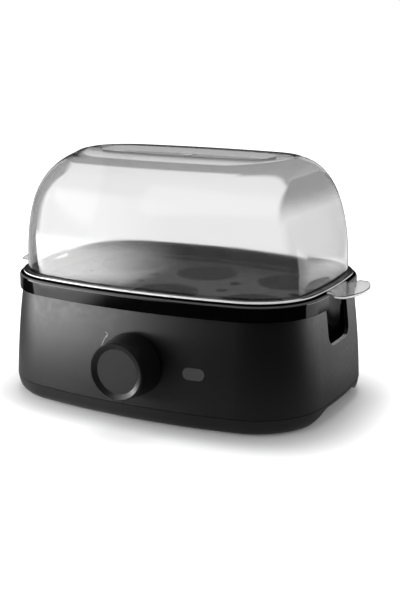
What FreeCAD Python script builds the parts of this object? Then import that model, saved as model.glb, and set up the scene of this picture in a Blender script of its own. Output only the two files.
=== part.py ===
"""Egg cooker: a low heated base, a tray for six eggs and a clear domed lid.

Frame: +Z up, front towards -Y, origin on the table under the middle of the housing. Millimetres.
"""
import FreeCAD, Part
import math
import os
import re
import Sketcher
from FreeCAD import Placement, Rotation, Vector

# Driving dimensions: alias, value, meaning
SIZES = [
    # plan outline of the lid's flange; the other outlines run parallel to it
    ("flange_half_width", 95.0, "middle to the end of the flange"),
    ("flange_half_depth", 67.0, "middle to the front of the flange"),
    ("front_bow", 373.0, "radius of the bowed front and back"),
    ("end_bow", 285.0, "radius of the bowed ends"),
    ("corner_round", 37.3, "radius of the four corners"),
    # heights above the table
    ("foot_height", 1.2, "height of the rubber feet"),
    ("seam_height", 10.3, "seam between base pan and shell"),
    ("waist_height", 38.0, "half way up the shell, where its draw-in is set"),
    ("band_foot", 63.8, "lower edge of the glossy band"),
    ("band_top", 72.8, "upper face of the glossy band"),
    # outer shell
    ("seam_growth", 5.6, "shell outside the flange outline at the seam, where it is widest"),
    ("waist_growth", 3.75, "the same half way up"),
    ("shell_top_growth", 0.8, "the same at its upper edge"),
    ("shell_wall", 2.4, "wall of shell and base pan"),
    ("band_line", 0.4, "shadow gap between shell and band"),
    ("seam_line", 0.3, "shadow gap between shell and base pan"),
    ("slot_half_width", 16.0, "half width of the U cut-outs at the ends"),
    ("slot_floor", 41.7, "lower edge of the cut-outs"),
    ("slot_round", 7.0, "lower corners of the cut-outs"),
    # upper frame
    ("band_growth", 2.4, "band outside the flange outline"),
    ("band_round", 1.7, "rounded upper edge of the band"),
    ("skirt_wall", 2.0, "thickness of band, lip and inner wall"),
    ("deck_thick", 2.4, "thickness of the frame's top"),
    ("well_inset", 9.0, "inner face of the well that takes the tray"),
    ("ledge_inset", 13.5, "inner edge of the tray's ledge"),
    ("ledge_top", 63.3, "upper face of the ledge"),
    ("ledge_thick", 1.8, "thickness of the ledge"),
    ("lip_depth", 4.8, "how far the locating lip reaches into the shell"),
    ("fit_gap", 0.3, "clearance between housing parts"),
    ("pocket_depth", 6.5, "back of the grip pocket behind the flange edge"),
    ("pocket_round", 30.7, "radius of the concave pocket wall"),
    ("pocket_setback", 2.7, "outer edge of the pocket walls behind the flange edge"),
    ("pocket_wall", 1.8, "wall of the grip pocket"),
    ("post_inset", 5.85, "screw posts inside the flange outline"),
    ("post_radius", 3.1, "radius of the screw posts"),
    ("clamp_spread", 40.0, "middle to the dish clamps along the front"),
    ("clamp_post_inset", 5.6, "clamp posts inside the flange outline"),
    ("clamp_post_radius", 3.0, "radius of the clamp posts"),
    ("clamp_gap", 1.1, "clamp plates clear of the bowl wall"),
    # base pan
    ("pan_tuck", 3.6, "how far the pan draws in from seam to bottom"),
    ("low_turn", 2.6, "lower part of the pan's rounded edge, above its foot"),
    ("low_tuck", 1.5, "how far the pan draws in there"),
    ("high_turn", 2.6, "upper part of that edge, under the seam"),
    ("high_tuck", 0.4, "how far the pan draws in there"),
    ("pan_floor", 2.0, "thickness of the pan's floor"),
    ("pan_lip", 2.4, "height of the pan's lip above the seam"),
    ("arch_half_width", 22.0, "half width of the hand arch's flat roof at each end"),
    ("arch_flare", 16.0, "how much wider the arch is at its foot, on each side"),
    ("arch_rise", 7.1, "rise of the hand arch"),
    ("arch_round", 10.0, "rounding of the arch's upper corners"),
    ("arch_depth", 10.0, "how deep the hand arch reaches in"),
    ("screw_pad_radius", 6.0, "pads that the base screws sit in"),
    ("screw_pad_height", 5.0, "height of those pads"),
    # screws
    ("screw_radius", 1.45, "shank of the housing screws"),
    ("screw_play", 0.06, "radial play round every shank"),
    ("screw_head_radius", 3.2, "head radius"),
    ("screw_head", 2.2, "head height"),
    ("base_screw_length", 14.0, "shank length of the base screws"),
    ("small_screw_length", 7.0, "shank length of the dish and board screws"),
    # feet
    ("foot_radius", 5.5, "radius of a foot"),
    ("foot_end_inset", 30.0, "foot inside the flange's end"),
    ("foot_front_inset", 24.0, "foot inside the flange's front"),
    # water dish and what hangs under it
    ("dish_sheet", 1.2, "sheet thickness of the dish"),
    ("dish_rim_inset", 10.3, "outer edge of the dish rim"),
    ("bowl_inset", 14.0, "bowl wall at the rim"),
    ("bowl_floor_inset", 18.0, "bowl wall at the floor"),
    ("bowl_depth", 12.0, "depth of the bowl"),
    ("gasket_thick", 1.5, "thickness of the dish gasket"),
    ("gasket_inset", 0.5, "gasket inside the dish rim"),
    ("heater_ring", 38.0, "radius of the ring-shaped heater"),
    ("heater_tube", 3.25, "radius of the heater tube"),
    ("heater_open", 60.0, "open part of the ring in degrees"),
    ("braze_gap", 0.1, "brazed joint between heater and dish"),
    ("pin_radius", 1.5, "radius of the heater's cold pins"),
    ("pin_length", 10.0, "length of the cold pins"),
    ("stud_radius", 1.5, "radius of the weld studs"),
    ("stud_length", 12.0, "length of the weld studs"),
    ("stud_spread", 25.0, "middle to a clamp stud"),
    ("earth_x", 48.0, "earth stud along X"),
    ("earth_y", 20.0, "earth stud along Y"),
    ("earth_length", 8.0, "length of the earth stud"),
    ("thermostat_radius", 8.0, "radius of the thermostat"),
    ("thermostat_height", 8.0, "height of the thermostat"),
    ("strap_thick", 0.8, "thickness of the thermostat strap"),
    ("strap_width", 8.0, "width of the strap"),
    ("strap_end", 4.5, "strap beyond each stud"),
    ("nut_radius", 2.9, "radius over the nut's corners"),
    ("nut_height", 2.4, "height of the nuts"),
    ("fuse_x", 18.0, "thermal fuse, middle to axis"),
    ("fuse_radius", 2.1, "radius of the fuse"),
    ("fuse_length", 12.0, "length of the fuse"),
    ("fuse_gap", 0.2, "gap between fuse and dish"),
    ("cradle_half_width", 3.0, "half width of the fuse cradle"),
    ("cradle_length", 8.0, "length of the fuse cradle"),
    # control board
    ("board_setback", 7.4, "front face of the board behind the flange's front"),
    ("board_thick", 1.6, "board thickness"),
    ("board_left", -24.0, "left edge of the board"),
    ("board_right", 64.0, "right edge of the board"),
    ("board_foot", 13.0, "lower edge of the board"),
    ("board_top", 49.0, "upper edge of the board"),
    ("stand_left", 17.0, "left board stand along X"),
    ("stand_right", 58.0, "right board stand along X"),
    ("stand_half_width", 4.0, "half width of a board stand"),
    ("stand_depth", 8.0, "depth of a board stand"),
    ("stand_gap", 0.8, "board stands clear of the dish above them"),
    ("board_screw_low", 20.0, "height of the lower board screws"),
    ("board_screw_high", 42.5, "height of the upper board screws"),
    ("board_screw_head", 2.6, "head radius of the board screws"),
    ("relay_left", -22.0, "left side of the relay"),
    ("relay_width", 20.0, "width of the relay"),
    ("relay_height", 16.0, "height of the relay"),
    ("relay_depth", 15.0, "depth of the relay"),
    ("relay_foot", 16.0, "lower side of the relay"),
    ("buzzer_x", 34.0, "buzzer along X"),
    ("buzzer_height", 25.0, "buzzer above the table"),
    ("buzzer_radius", 6.5, "radius of the buzzer"),
    ("buzzer_depth", 9.0, "depth of the buzzer"),
    ("lamp_radius", 2.5, "radius of the indicator lamp"),
    # dial
    ("dial_x", 3.8, "dial axis along X"),
    ("dial_height", 34.6, "dial axis above the table"),
    ("control_side", 14.0, "side of the rotary control's case"),
    ("control_depth", 6.0, "depth of the case"),
    ("bush_radius", 4.6, "radius of the control's bush"),
    ("bush_length", 4.6, "length of the bush"),
    ("bush_play", 0.5, "play of the bush in the shell"),
    ("shaft_radius", 3.0, "radius of the dial shaft"),
    ("shaft_play", 0.05, "running clearance of the shaft"),
    ("shaft_seat", 3.0, "how deep the shaft sits in the case"),
    ("shaft_grip", 13.5, "how deep the shaft sits in the knob"),
    ("knob_gap", 0.5, "knob in front of the shell under it"),
    ("knob_depth", 17.6, "depth of the knob"),
    ("knob_base_radius", 18.0, "knob radius at its back"),
    ("knob_face_radius", 16.4, "knob radius at its front"),
    ("knob_edge", 0.6, "rounded front edge of the knob"),
    ("knob_wall", 2.2, "wall of the knob"),
    ("knob_hub", 5.5, "radius of the knob's hub"),
    ("knob_rim", 1.0, "flat rim round the dished front"),
    ("knob_bevel", 2.7, "width of the dished bevel"),
    ("knob_sink", 1.5, "depth of the dished front"),
    ("cap_thick", 1.2, "thickness of the disc in the knob"),
    ("cap_play", 0.1, "play round the disc"),
    # indicator lens
    ("lens_x", 40.0, "lens along X"),
    ("lens_height", 32.8, "lens above the table"),
    ("lens_length", 12.7, "length of the lens"),
    ("lens_width", 6.8, "width of the lens"),
    ("lens_play", 0.12, "play round the lens"),
    ("lens_setback", 2.6, "back of the lens behind the flange's front"),
    # mains side
    ("block_x", 46.0, "terminal block along X"),
    ("block_setback", 23.0, "terminal block inside the flange's back"),
    ("block_length", 24.0, "length of the block"),
    ("block_width", 12.0, "width of the block"),
    ("block_height", 12.0, "height of the block"),
    ("lead_pitch", 7.0, "distance between the leads on the block"),
    ("lead_radius", 1.1, "radius of a lead"),
    ("lead_bend", 3.2, "bend radius of the leads"),
    ("grommet_x", 26.0, "grommet along X"),
    ("grommet_height", 21.0, "grommet above the table"),
    ("grommet_bore", 3.6, "bore radius of the grommet"),
    ("grommet_neck", 5.6, "neck radius of the grommet"),
    ("grommet_flange", 8.0, "flange radius of the grommet"),
    ("grommet_flange_thick", 2.0, "thickness of each flange"),
    ("grommet_slack", 1.4, "room for the bowed wall between the flanges"),
    # egg tray
    ("seat_gap", 0.2, "gap between parts that rest on each other"),
    ("tray_play", 0.6, "play of the tray in its well"),
    ("tray_thick", 2.0, "thickness of the tray"),
    ("tray_rim", 2.5, "height of the tray's rim"),
    ("tray_rim_wall", 2.0, "thickness of that rim"),
    ("seat_end_room", 40.0, "flange end to the middle of the outer seats"),
    ("seat_front_room", 40.0, "flange front to the middle of a row of seats"),
    ("seat_radius", 19.5, "radius of a seat at the top"),
    ("seat_foot_radius", 14.5, "radius of the opening at its foot"),
    ("seat_drop", 8.0, "depth of a seat below the tray"),
    ("seat_wall", 1.6, "wall of a seat"),
    ("steam_radius", 3.5, "radius of the steam holes"),
    ("steam_y", 9.5, "inner steam holes along Y"),
    ("steam_end_room", 25.0, "flange end to the outer steam holes"),
    # lid
    ("lid_flange", 1.6, "thickness of the flange"),
    ("lid_inset", 3.0, "dome wall inside the flange edge"),
    ("lid_wall", 1.8, "wall of the dome"),
    ("lid_top", 143.8, "top of the dome"),
    ("lid_end_run", 25.5, "how far the ends curve in"),
    ("lid_end_power", 2.4, "how late the ends start to curve in"),
    ("lid_end_turn", 1.3, "how roundly they meet the top"),
    ("lid_front_run", 41.8, "how far front and back curve in"),
    ("lid_front_power", 7.0, "how late front and back start to curve in"),
    ("lid_front_turn", 2.0, "how roundly they meet the top"),
    ("lid_corner_top", 31.9, "corner radius towards the top"),
    ("lid_corner_share", 0.95, "largest corner radius, as a share of the depth left at the ends"),
    ("panel_end_margin", 11.5, "flat edge at the ends of the sunk top panel"),
    ("panel_front_margin", 5.2, "flat edge in front of and behind the panel"),
    ("panel_corner", 12.0, "corner radius of the panel"),
    ("panel_sink", 1.6, "depth of the panel"),
    ("panel_slope", 2.5, "width of its sloped edge"),
    ("vent_radius", 2.5, "radius of the steam vent"),
    ("tab_bite", 2.0, "how far a tab reaches under the flange"),
    ("tab_root", 13.9, "half width of a lifting tab at its root"),
    ("tab_half_width", 21.2, "half width of a tab"),
    ("tab_neck", 2.8, "flange edge to where the tab starts to flare"),
    ("tab_wide", 7.0, "flange edge to its widest place"),
    ("tab_end", 18.0, "flange edge to its outer edge"),
    ("tab_round", 4.0, "corner radius of a tab"),
    ("tab_thick", 1.7, "thickness of a tab"),
    ("tab_drop", 1.3, "how far a tab lies below the flange's top"),
    ("tab_bow", 40.0, "radius of a tab's bowed end"),
    ("tab_round_share", 0.95, "largest share of a tab's side that its corner takes"),
]

doc = FreeCAD.newDocument("egg_cooker")
sheet = doc.addObject("Spreadsheet::Sheet", "sizes")
for row, (alias, number, meaning) in enumerate(SIZES, start=1):
    sheet.set(f"A{row}", meaning)
    sheet.set(f"B{row}", str(number))
    sheet.setAlias(f"B{row}", alias)
doc.recompute()

ALIASES = {alias for alias, number, meaning in SIZES}
SIDES = (1, -1)
QUARTERS = [(sx, sy) for sx in SIDES for sy in SIDES]
SIDE_NAMES = {1: "right", -1: "left"}
FRONT_FACING = Rotation(Vector(1, 0, 0), 90)
REAR_FACING = Rotation(Vector(1, 0, 0), -90)
SIDE_FACING = Rotation(Vector(0, 1, 0), 90)
TOUCH = 0.001
nodes = {}


def linked(text):
    """The expression with every alias written as a cell of the sheet."""
    words = re.compile(r"\b[a-z_]+\b")
    return words.sub(lambda word: "sizes." + word[0] if word[0] in ALIASES else word[0], str(text))


def value(text):
    """The number that an expression gives now."""
    return float(sheet.evalExpression(linked(text)))


def bind(thing, **properties):
    for name, text in properties.items():
        thing.setExpression(name.replace("__", "."), linked(text))


def place(thing, at, turn=None):
    """Put an object at a point given by three expressions."""
    thing.Placement = Placement(Vector(*(value(text) for text in at)), turn or Rotation())
    for axis, text in zip("xyz", at):
        thing.setExpression("Placement.Base." + axis, linked(text))
    return thing


def node(name, thing):
    """Mark an object as one piece of the egg cooker."""
    thing.Label = name
    nodes[name] = thing
    return thing


def box(name, low, high):
    """A block between two corners given by expressions."""
    block = doc.addObject("Part::Box", name)
    spans = [f"({top}) - ({foot})" for foot, top in zip(low, high)]
    bind(block, Length=spans[0], Width=spans[1], Height=spans[2])
    return place(block, low)


def cylinder(name, radius, height, at, turn=None):
    rod = doc.addObject("Part::Cylinder", name)
    bind(rod, Radius=radius, Height=height)
    return place(rod, at, turn)


def fuse(name, pieces):
    joined = doc.addObject("Part::MultiFuse", name)
    joined.Shapes = pieces
    return joined


def group(name, pieces):
    several = doc.addObject("Part::Compound", name)
    several.Links = pieces
    return several


def common(name, base, tool):
    shared = doc.addObject("Part::Common", name)
    shared.Base = base
    shared.Tool = tool
    return shared


def cut(name, base, tools):
    tool = tools[0] if len(tools) == 1 else fuse(name + "_tools", tools)
    rest = doc.addObject("Part::Cut", name)
    rest.Base = base
    rest.Tool = tool
    return rest


def new_body(name):
    return doc.addObject("PartDesign::Body", name)


def sketch_on(body, name, role="XY_Plane", height="0"):
    """An empty sketch on one of the body's own planes, moved along the plane's normal."""
    plane = next(item for item in body.Origin.OriginFeatures if item.Role == role)
    sketch = body.newObject("Sketcher::SketchObject", name)
    sketch.AttachmentSupport = [(plane, "")]
    sketch.MapMode = "FlatFace"
    sketch.AttachmentOffset = Placement(Vector(0, 0, value(height)), Rotation())
    sketch.setExpression("AttachmentOffset.Base.z", linked(height))
    return sketch


def constrain(sketch, text, *what):
    """Add a constraint, and tie its number to an expression."""
    index = sketch.addConstraint(Sketcher.Constraint(*what, value(text)))
    sketch.setExpression(f"Constraints[{index}]", linked(text))


FULL = {"half_width": "flange_half_width", "half_depth": "flange_half_depth", "corner": "corner_round"}


def corner_centre(half_width, half_depth, corner):
    """Expressions for the middle of the rear right corner's arc."""
    reach = f"(front_bow - ({half_depth}))"
    span = f"(end_bow - ({half_width}))"
    apart = f"sqrt({reach}^2 + {span}^2)"
    to_front = f"(front_bow - ({corner}))"
    to_end = f"(end_bow - ({corner}))"
    along = f"(({to_front}^2 - {to_end}^2 + {apart}^2) / (2 * {apart}))"
    across = f"sqrt({to_front}^2 - {along}^2)"
    x = f"((({across}) * {reach} - {along} * {span}) / {apart})"
    y = f"(({along} * {reach} + ({across}) * {span}) / {apart} - {reach})"
    return x, y


def add_outline(sketch, growth="0", half_width=None, half_depth=None, corner=None):
    """Eight tangent arcs: bowed front, back and ends, and four round corners."""
    half_width = half_width or FULL["half_width"]
    half_depth = half_depth or FULL["half_depth"]
    corner = corner or FULL["corner"]
    reach = value(f"front_bow - ({half_depth})")
    span = value(f"end_bow - ({half_width})")
    corner_x, corner_y = (value(text) for text in corner_centre(half_width, half_depth, corner))
    bow_angle = math.atan2(corner_x, corner_y + reach)
    end_angle = math.atan2(corner_y, corner_x + span)
    quarter = math.pi / 2
    radii = {"bow": f"front_bow + ({growth})", "end": f"end_bow + ({growth})",
             "corner": f"({corner}) + ({growth})"}
    arcs = [
        ("bow", 0, reach, -quarter - bow_angle, -quarter + bow_angle),
        ("corner", corner_x, -corner_y, -quarter + bow_angle, -end_angle),
        ("end", -span, 0, -end_angle, end_angle),
        ("corner", corner_x, corner_y, end_angle, quarter - bow_angle),
        ("bow", 0, -reach, quarter - bow_angle, quarter + bow_angle),
        ("corner", -corner_x, corner_y, quarter + bow_angle, math.pi - end_angle),
        ("end", span, 0, math.pi - end_angle, math.pi + end_angle),
        ("corner", -corner_x, -corner_y, math.pi + end_angle, 3 * quarter - bow_angle),
    ]
    ids = []
    for kind, x, y, start, stop in arcs:
        circle = Part.Circle(Vector(x, y, 0), Vector(0, 0, 1), value(radii[kind]))
        ids.append(sketch.addGeometry(Part.ArcOfCircle(circle, start, stop)))
    front, front_right, right, rear_right, rear, rear_left, left, front_left = ids
    for here, after in zip(ids, ids[1:] + ids[:1]):
        sketch.addConstraint(Sketcher.Constraint("Tangent", here, 2, after, 1))
    for arc in (front, rear):
        sketch.addConstraint(Sketcher.Constraint("PointOnObject", arc, 3, -2))
    for arc in (right, left):
        sketch.addConstraint(Sketcher.Constraint("PointOnObject", arc, 3, -1))
    sketch.addConstraint(Sketcher.Constraint("Equal", front, rear))
    sketch.addConstraint(Sketcher.Constraint("Equal", right, left))
    for arc in (rear_right, rear_left, front_left):
        sketch.addConstraint(Sketcher.Constraint("Equal", front_right, arc))
    constrain(sketch, radii["bow"], "Radius", front)
    constrain(sketch, radii["end"], "Radius", right)
    constrain(sketch, radii["corner"], "Radius", front_right)
    constrain(sketch, f"front_bow - ({half_depth})", "DistanceY", -1, 1, front, 3)
    constrain(sketch, f"front_bow - ({half_depth})", "DistanceY", rear, 3, -1, 1)
    constrain(sketch, f"end_bow - ({half_width})", "DistanceX", right, 3, -1, 1)
    constrain(sketch, f"end_bow - ({half_width})", "DistanceX", -1, 1, left, 3)


def outline(body, name, height, **sizes):
    sketch = sketch_on(body, name, height=height)
    add_outline(sketch, **sizes)
    return sketch


def ring_pad(body, name, foot, top, outer, inner):
    """A wall between two parallel outlines."""
    sketch = outline(body, name + "_plan", foot, growth=outer)
    add_outline(sketch, growth=inner)
    return pad(body, name, sketch, f"({top}) - ({foot})")


def pad(body, name, sketch, length):
    feature = body.newObject("PartDesign::Pad", name)
    feature.Profile = sketch
    bind(feature, Length=length)
    return feature


def loft(body, name, sections, kind="PartDesign::AdditiveLoft", ruled=False):
    feature = body.newObject(kind, name)
    feature.Profile = sections[0]
    feature.Sections = sections[1:]
    feature.Ruled = ruled
    return feature


def add_polygon(sketch, corners):
    """A closed run of straight lines through corners given by expressions."""
    points = [Vector(value(x), value(y), 0) for x, y in corners]
    ids = []
    for here, after in zip(points, points[1:] + points[:1]):
        ids.append(sketch.addGeometry(Part.LineSegment(here, after)))
    for here, after in zip(ids, ids[1:] + ids[:1]):
        sketch.addConstraint(Sketcher.Constraint("Coincident", here, 2, after, 1))
    for line, (x, y) in zip(ids, corners):
        constrain(sketch, x, "DistanceX", -1, 1, line, 1)
        constrain(sketch, y, "DistanceY", -1, 1, line, 1)


def turned(name, profile):
    """A body turned about its own Z axis from (radius, height) corners."""
    body = new_body(name)
    sketch = sketch_on(body, name + "_profile", "XZ_Plane")
    add_polygon(sketch, profile)
    feature = body.newObject("PartDesign::Revolution", name + "_turn")
    feature.Profile = sketch
    feature.ReferenceAxis = (sketch, ["V_Axis"])
    feature.Angle = 360
    return body


def fillet(body, name, feature, radius, wanted):
    """Round the edges of a feature that a test picks out."""
    doc.recompute()
    edges = [f"Edge{i}" for i, edge in enumerate(feature.Shape.Edges, start=1) if wanted(edge)]
    rounded = body.newObject("PartDesign::Fillet", name)
    rounded.Base = (feature, edges)
    bind(rounded, Radius=radius)
    return rounded


def flat_at(edge, height):
    box_of = edge.BoundBox
    return abs(box_of.ZMin - height) < TOUCH and abs(box_of.ZMax - height) < TOUCH


# Heights and places that several pieces share
DECK_FOOT = "(band_top - deck_thick)"
LEDGE_FOOT = "(ledge_top - ledge_thick)"
DISH_RIM_TOP = f"({LEDGE_FOOT} - gasket_thick)"
DISH_RIM_FOOT = f"({DISH_RIM_TOP} - dish_sheet)"
BOWL_FLOOR = f"({DISH_RIM_TOP} - bowl_depth)"
DISH_FOOT = f"({BOWL_FLOOR} - dish_sheet)"
PAN_TOP = "(seam_height - seam_line)"
PAN_INSIDE = "(foot_height + pan_floor)"
PAD_TOP = "(foot_height + screw_pad_height)"
TRAY_FOOT = "(ledge_top + seat_gap)"
TRAY_TOP = f"({TRAY_FOOT} + tray_thick)"
SEAT_PITCH = "(flange_half_width - seat_end_room)"
ROW_OFFSET = "(flange_half_depth - seat_front_room)"
LID_FOOT = "(band_top + seat_gap)"
LID_RIM = f"({LID_FOOT} + lid_flange)"
BOARD_FACE = "(flange_half_depth - board_setback)"
BOARD_BACK = f"({BOARD_FACE} - board_thick)"
LENS_BACK = "(flange_half_depth - lens_setback)"
BLOCK_Y = "(flange_half_depth - block_setback)"
POCKET_BACK = "(flange_half_width - pocket_depth)"
SHELL_INSIDE_TOP = "(shell_top_growth - shell_wall)"
CORNER_X, CORNER_Y = corner_centre(**FULL)
POST_X = f"({CORNER_X} + (corner_round - post_inset) * cos(45))"
POST_Y = f"({CORNER_Y} + (corner_round - post_inset) * sin(45))"
CLAMP_Y = ("(sqrt((front_bow - clamp_post_inset)^2 - clamp_spread^2)"
           " - (front_bow - flange_half_depth))")


def wall_growth(height):
    """How far the lower half of the shell stands outside the flange outline at a height."""
    return (f"(seam_growth - (seam_growth - waist_growth) * ({height} - seam_height)"
            f" / (waist_height - seam_height))")


def shell_form(name, thinner):
    """The shell's outside, or its inside when made thinner by the wall."""
    body = new_body(name)
    levels = [
        ("seam_height", "seam_growth"),
        ("waist_height", "waist_growth"),
        ("band_foot - band_line", "shell_top_growth"),
    ]
    sections = []
    for count, (height, growth) in enumerate(levels):
        sections.append(outline(body, f"{name}_{count}", height, growth=f"{growth} - ({thinner})"))
    loft(body, name + "_loft", sections)
    return body


def pill(name, play, front, back):
    """A rounded bar along Y for the lens or its window."""
    radius = f"(lens_width / 2 + {play})"
    reach = "((lens_length - lens_width) / 2)"
    middle = box(name + "_middle", (f"lens_x - {reach}", f"-({front})", f"lens_height - {radius}"),
                 (f"lens_x + {reach}", f"-({back})", f"lens_height + {radius}"))
    ends = []
    for side in SIDES:
        at = (f"lens_x + {side} * {reach}", f"-({back})", "lens_height")
        end_name = f"{name}_end_{SIDE_NAMES[side]}"
        ends.append(cylinder(end_name, radius, f"({front}) - ({back})", at, FRONT_FACING))
    return fuse(name, [middle] + ends)


FAR_FRONT = "(flange_half_depth + seam_growth + knob_depth)"
FAR_END = "(flange_half_width + seam_growth + tab_round)"


def make_shell():
    outside = shell_form("shell_outside", "0")
    inside = shell_form("shell_inside", "shell_wall")
    wall = cut("shell_wall_ring", outside, [inside])
    top = "band_top"
    slot_parts = [
        box("slot_upper", (f"-{FAR_END}", "-slot_half_width", "slot_floor + slot_round"),
            (FAR_END, "slot_half_width", top)),
        box("slot_lower", (f"-{FAR_END}", "slot_round - slot_half_width", "slot_floor"),
            (FAR_END, "slot_half_width - slot_round", top)),
    ]
    for side in SIDES:
        at = (f"-{FAR_END}", f"{side} * (slot_half_width - slot_round)", "slot_floor + slot_round")
        slot_parts.append(cylinder(f"slot_corner_{SIDE_NAMES[side]}", "slot_round", f"2 * {FAR_END}",
                                   at, SIDE_FACING))
    slot = fuse("grip_slot", slot_parts)
    bush_hole = cylinder("bush_hole", "bush_radius + bush_play", f"{FAR_FRONT} - {BOARD_FACE}",
                         ("dial_x", f"-{BOARD_FACE}", "dial_height"), FRONT_FACING)
    window = pill("lens_window", "lens_play", FAR_FRONT, BOARD_FACE)
    cord_hole = cylinder("cord_hole", "grommet_neck + fit_gap", "2 * knob_depth",
                         ("grommet_x", "flange_half_depth - knob_depth", "grommet_height"), REAR_FACING)
    node("outer_shell", cut("shell_cut", wall, [slot, bush_hole, window, cord_hole]))
    lens_bar = pill("lens_bar", "0", FAR_FRONT, LENS_BACK)
    lens_outside = shell_form("lens_outside", "0")
    node("indicator_lens", common("lens_common", lens_bar, lens_outside))


def make_frame():
    body = new_body("frame_rings")
    ring_pad(body, "skirt", "band_foot", DECK_FOOT, "band_growth", "band_growth - skirt_wall")
    lip = f"({SHELL_INSIDE_TOP} - fit_gap)"
    ring_pad(body, "lip", "band_foot - lip_depth", DECK_FOOT, lip, f"{lip} - skirt_wall")
    ring_pad(body, "well", LEDGE_FOOT, DECK_FOOT, "skirt_wall - well_inset", "-well_inset")
    ring_pad(body, "ledge", LEDGE_FOOT, "ledge_top", "skirt_wall - well_inset", "-ledge_inset")
    deck = ring_pad(body, "deck", DECK_FOOT, "band_top", "band_growth", "-well_inset")
    half_depth = value("flange_half_depth + band_growth")
    top = value("band_top")

    def outer_top(edge):
        far = max(abs(edge.BoundBox.YMin), abs(edge.BoundBox.YMax)) > half_depth - value("skirt_wall")
        wide = max(abs(edge.BoundBox.XMin), abs(edge.BoundBox.XMax)) > value("flange_half_width")
        return flat_at(edge, top) and (far or wide)

    fillet(body, "band_edge", deck, "band_round", outer_top)
    pieces = [body]
    cuts = []
    for side in SIDES:
        name = SIDE_NAMES[side]
        inside = f"{side} * ({POCKET_BACK} - pocket_wall)"
        ends = sorted([inside, f"{side} * (flange_half_width - pocket_setback)"], key=value)
        half = "(slot_half_width + pocket_wall)"
        pieces.append(box("pocket_" + name, (ends[0], f"-{half}", "slot_floor - pocket_wall"),
                          (ends[1], half, DECK_FOOT)))
        bow = cylinder("pocket_bow_" + name, "pocket_round", "2 * band_top",
                       (f"{side} * ({POCKET_BACK} + pocket_round)", "0", "slot_floor"))
        spread = sorted([inside, f"{side} * {FAR_END}"], key=value)
        mouth = box("pocket_mouth_" + name, (spread[0], "-slot_half_width", "slot_floor"),
                    (spread[1], "slot_half_width", "2 * band_top"))
        cuts.append(common("pocket_hollow_" + name, bow, mouth))
    for count, (sx, sy) in enumerate(QUARTERS):
        at = (f"{sx} * {POST_X}", f"{sy} * {POST_Y}", PAD_TOP)
        pieces.append(cylinder(f"post_{count}", "post_radius", f"{DECK_FOOT} - {PAD_TOP}", at))
        cuts.append(cylinder(f"post_pilot_{count}", "screw_radius + screw_play", "base_screw_length", at))
        clamp_at = (f"{sx} * clamp_spread", f"{sy} * {CLAMP_Y}", DISH_RIM_FOOT)
        pieces.append(cylinder(f"clamp_post_{count}", "clamp_post_radius",
                               f"{DECK_FOOT} - {DISH_RIM_FOOT}", clamp_at))
        cuts.append(cylinder(f"clamp_pilot_{count}", "screw_radius + screw_play",
                             "small_screw_length", clamp_at))
    node("upper_frame", cut("frame_cut", fuse("frame_solid", pieces), cuts))


def arch(side, name, grow):
    """The room of a hand arch under one end, or that room with the roof over it."""
    body = new_body(f"{name}_{SIDE_NAMES[side]}")
    start = f"(flange_half_width + seam_growth - arch_depth - {grow})"
    sketch = sketch_on(body, body.Name + "_front", "YZ_Plane", start if side > 0 else f"-{FAR_END}")
    roof = f"foot_height + arch_rise + {grow}"
    top_half = f"(arch_half_width + {grow})"
    foot_half = f"(arch_half_width + arch_flare + {grow})"
    add_polygon(sketch, [
        (f"-{foot_half}", "foot_height"),
        (foot_half, "foot_height"),
        (top_half, roof),
        (f"-{top_half}", roof),
    ])
    slab = pad(body, body.Name + "_pad", sketch, f"{FAR_END} - {start}")
    level = value(roof)
    fillet(body, body.Name + "_corners", slab, "arch_round",
           lambda edge: flat_at(edge, level) and edge.BoundBox.YLength < TOUCH)
    return body


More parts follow.
